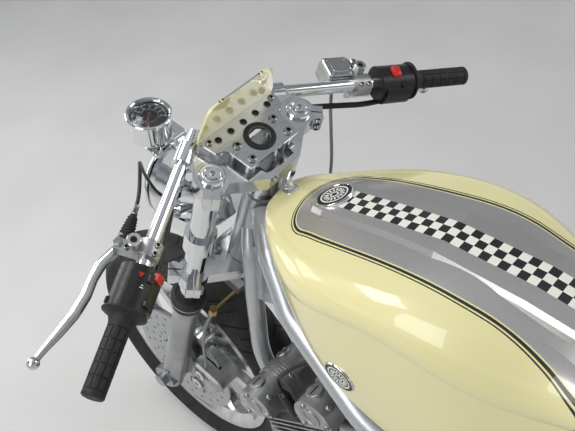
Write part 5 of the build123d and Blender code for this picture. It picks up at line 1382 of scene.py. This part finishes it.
class CAFERACER_OT_chain(bpy.types.Operator):
    """Make the roller chain, link by link"""
    bl_idname = "caferacer.chain"
    bl_label = "Chain"

    def execute(self, context):
        settings_of(context)
        make_chain()
        return {"FINISHED"}


class CAFERACER_OT_springs(bpy.types.Operator):
    """Make the rear springs"""
    bl_idname = "caferacer.springs"
    bl_label = "Springs"

    def execute(self, context):
        settings_of(context)
        make_springs()
        return {"FINISHED"}


class CAFERACER_OT_small(bpy.types.Operator):
    """Make the exhaust bands, rubbers and the tail light's rim"""
    bl_idname = "caferacer.small"
    bl_label = "Small fittings"

    def execute(self, context):
        settings_of(context)
        make_small_parts()
        return {"FINISHED"}


OPERATORS = (
    CAFERACER_OT_stage, CAFERACER_OT_nodes, CAFERACER_OT_tyres, CAFERACER_OT_wheels, CAFERACER_OT_fork, CAFERACER_OT_dash,
    CAFERACER_OT_clock, CAFERACER_OT_controls, CAFERACER_OT_headlight, CAFERACER_OT_tank, CAFERACER_OT_seat,
    CAFERACER_OT_engine, CAFERACER_OT_chain, CAFERACER_OT_springs, CAFERACER_OT_small,
)


class CAFERACER_PT_panel(bpy.types.Panel):
    """Buttons and values of the cafe racer"""
    bl_idname = "CAFERACER_PT_panel"
    bl_label = "Cafe racer"
    bl_space_type = "VIEW_3D"
    bl_region_type = "UI"
    bl_category = "Cafe racer"

    def draw(self, context):
        settings = context.scene.cafe_racer
        for name in ("tread_depth", "dial_turn", "seat_puff", "cream", "silver", "surround", "lamp_level"):
            self.layout.prop(settings, name)
        for operator in OPERATORS:
            self.layout.operator(operator.bl_idname)


CLASSES = (CafeRacerSettings,) + OPERATORS + (CAFERACER_PT_panel,)


def register():
    for kind in CLASSES:
        bpy.utils.register_class(kind)
    bpy.types.Scene.cafe_racer = bpy.props.PointerProperty(type=CafeRacerSettings)


def unregister():
    del bpy.types.Scene.cafe_racer
    for kind in reversed(CLASSES):
        bpy.utils.unregister_class(kind)


def main():
    """Dress the frame piece by piece, with the camera first and the stage last."""
    register()
    make_camera()
    bpy.ops.caferacer.nodes()
    bpy.ops.caferacer.seat()
    bpy.ops.caferacer.tyres()
    bpy.ops.caferacer.wheels()
    bpy.ops.caferacer.fork()
    bpy.ops.caferacer.dash()
    bpy.ops.caferacer.clock()
    bpy.ops.caferacer.controls()
    bpy.ops.caferacer.headlight()
    bpy.ops.caferacer.tank()
    bpy.ops.caferacer.engine()
    bpy.ops.caferacer.chain()
    bpy.ops.caferacer.springs()
    bpy.ops.caferacer.small()
    bpy.ops.caferacer.stage()


if __name__ == "__main__":
    main()
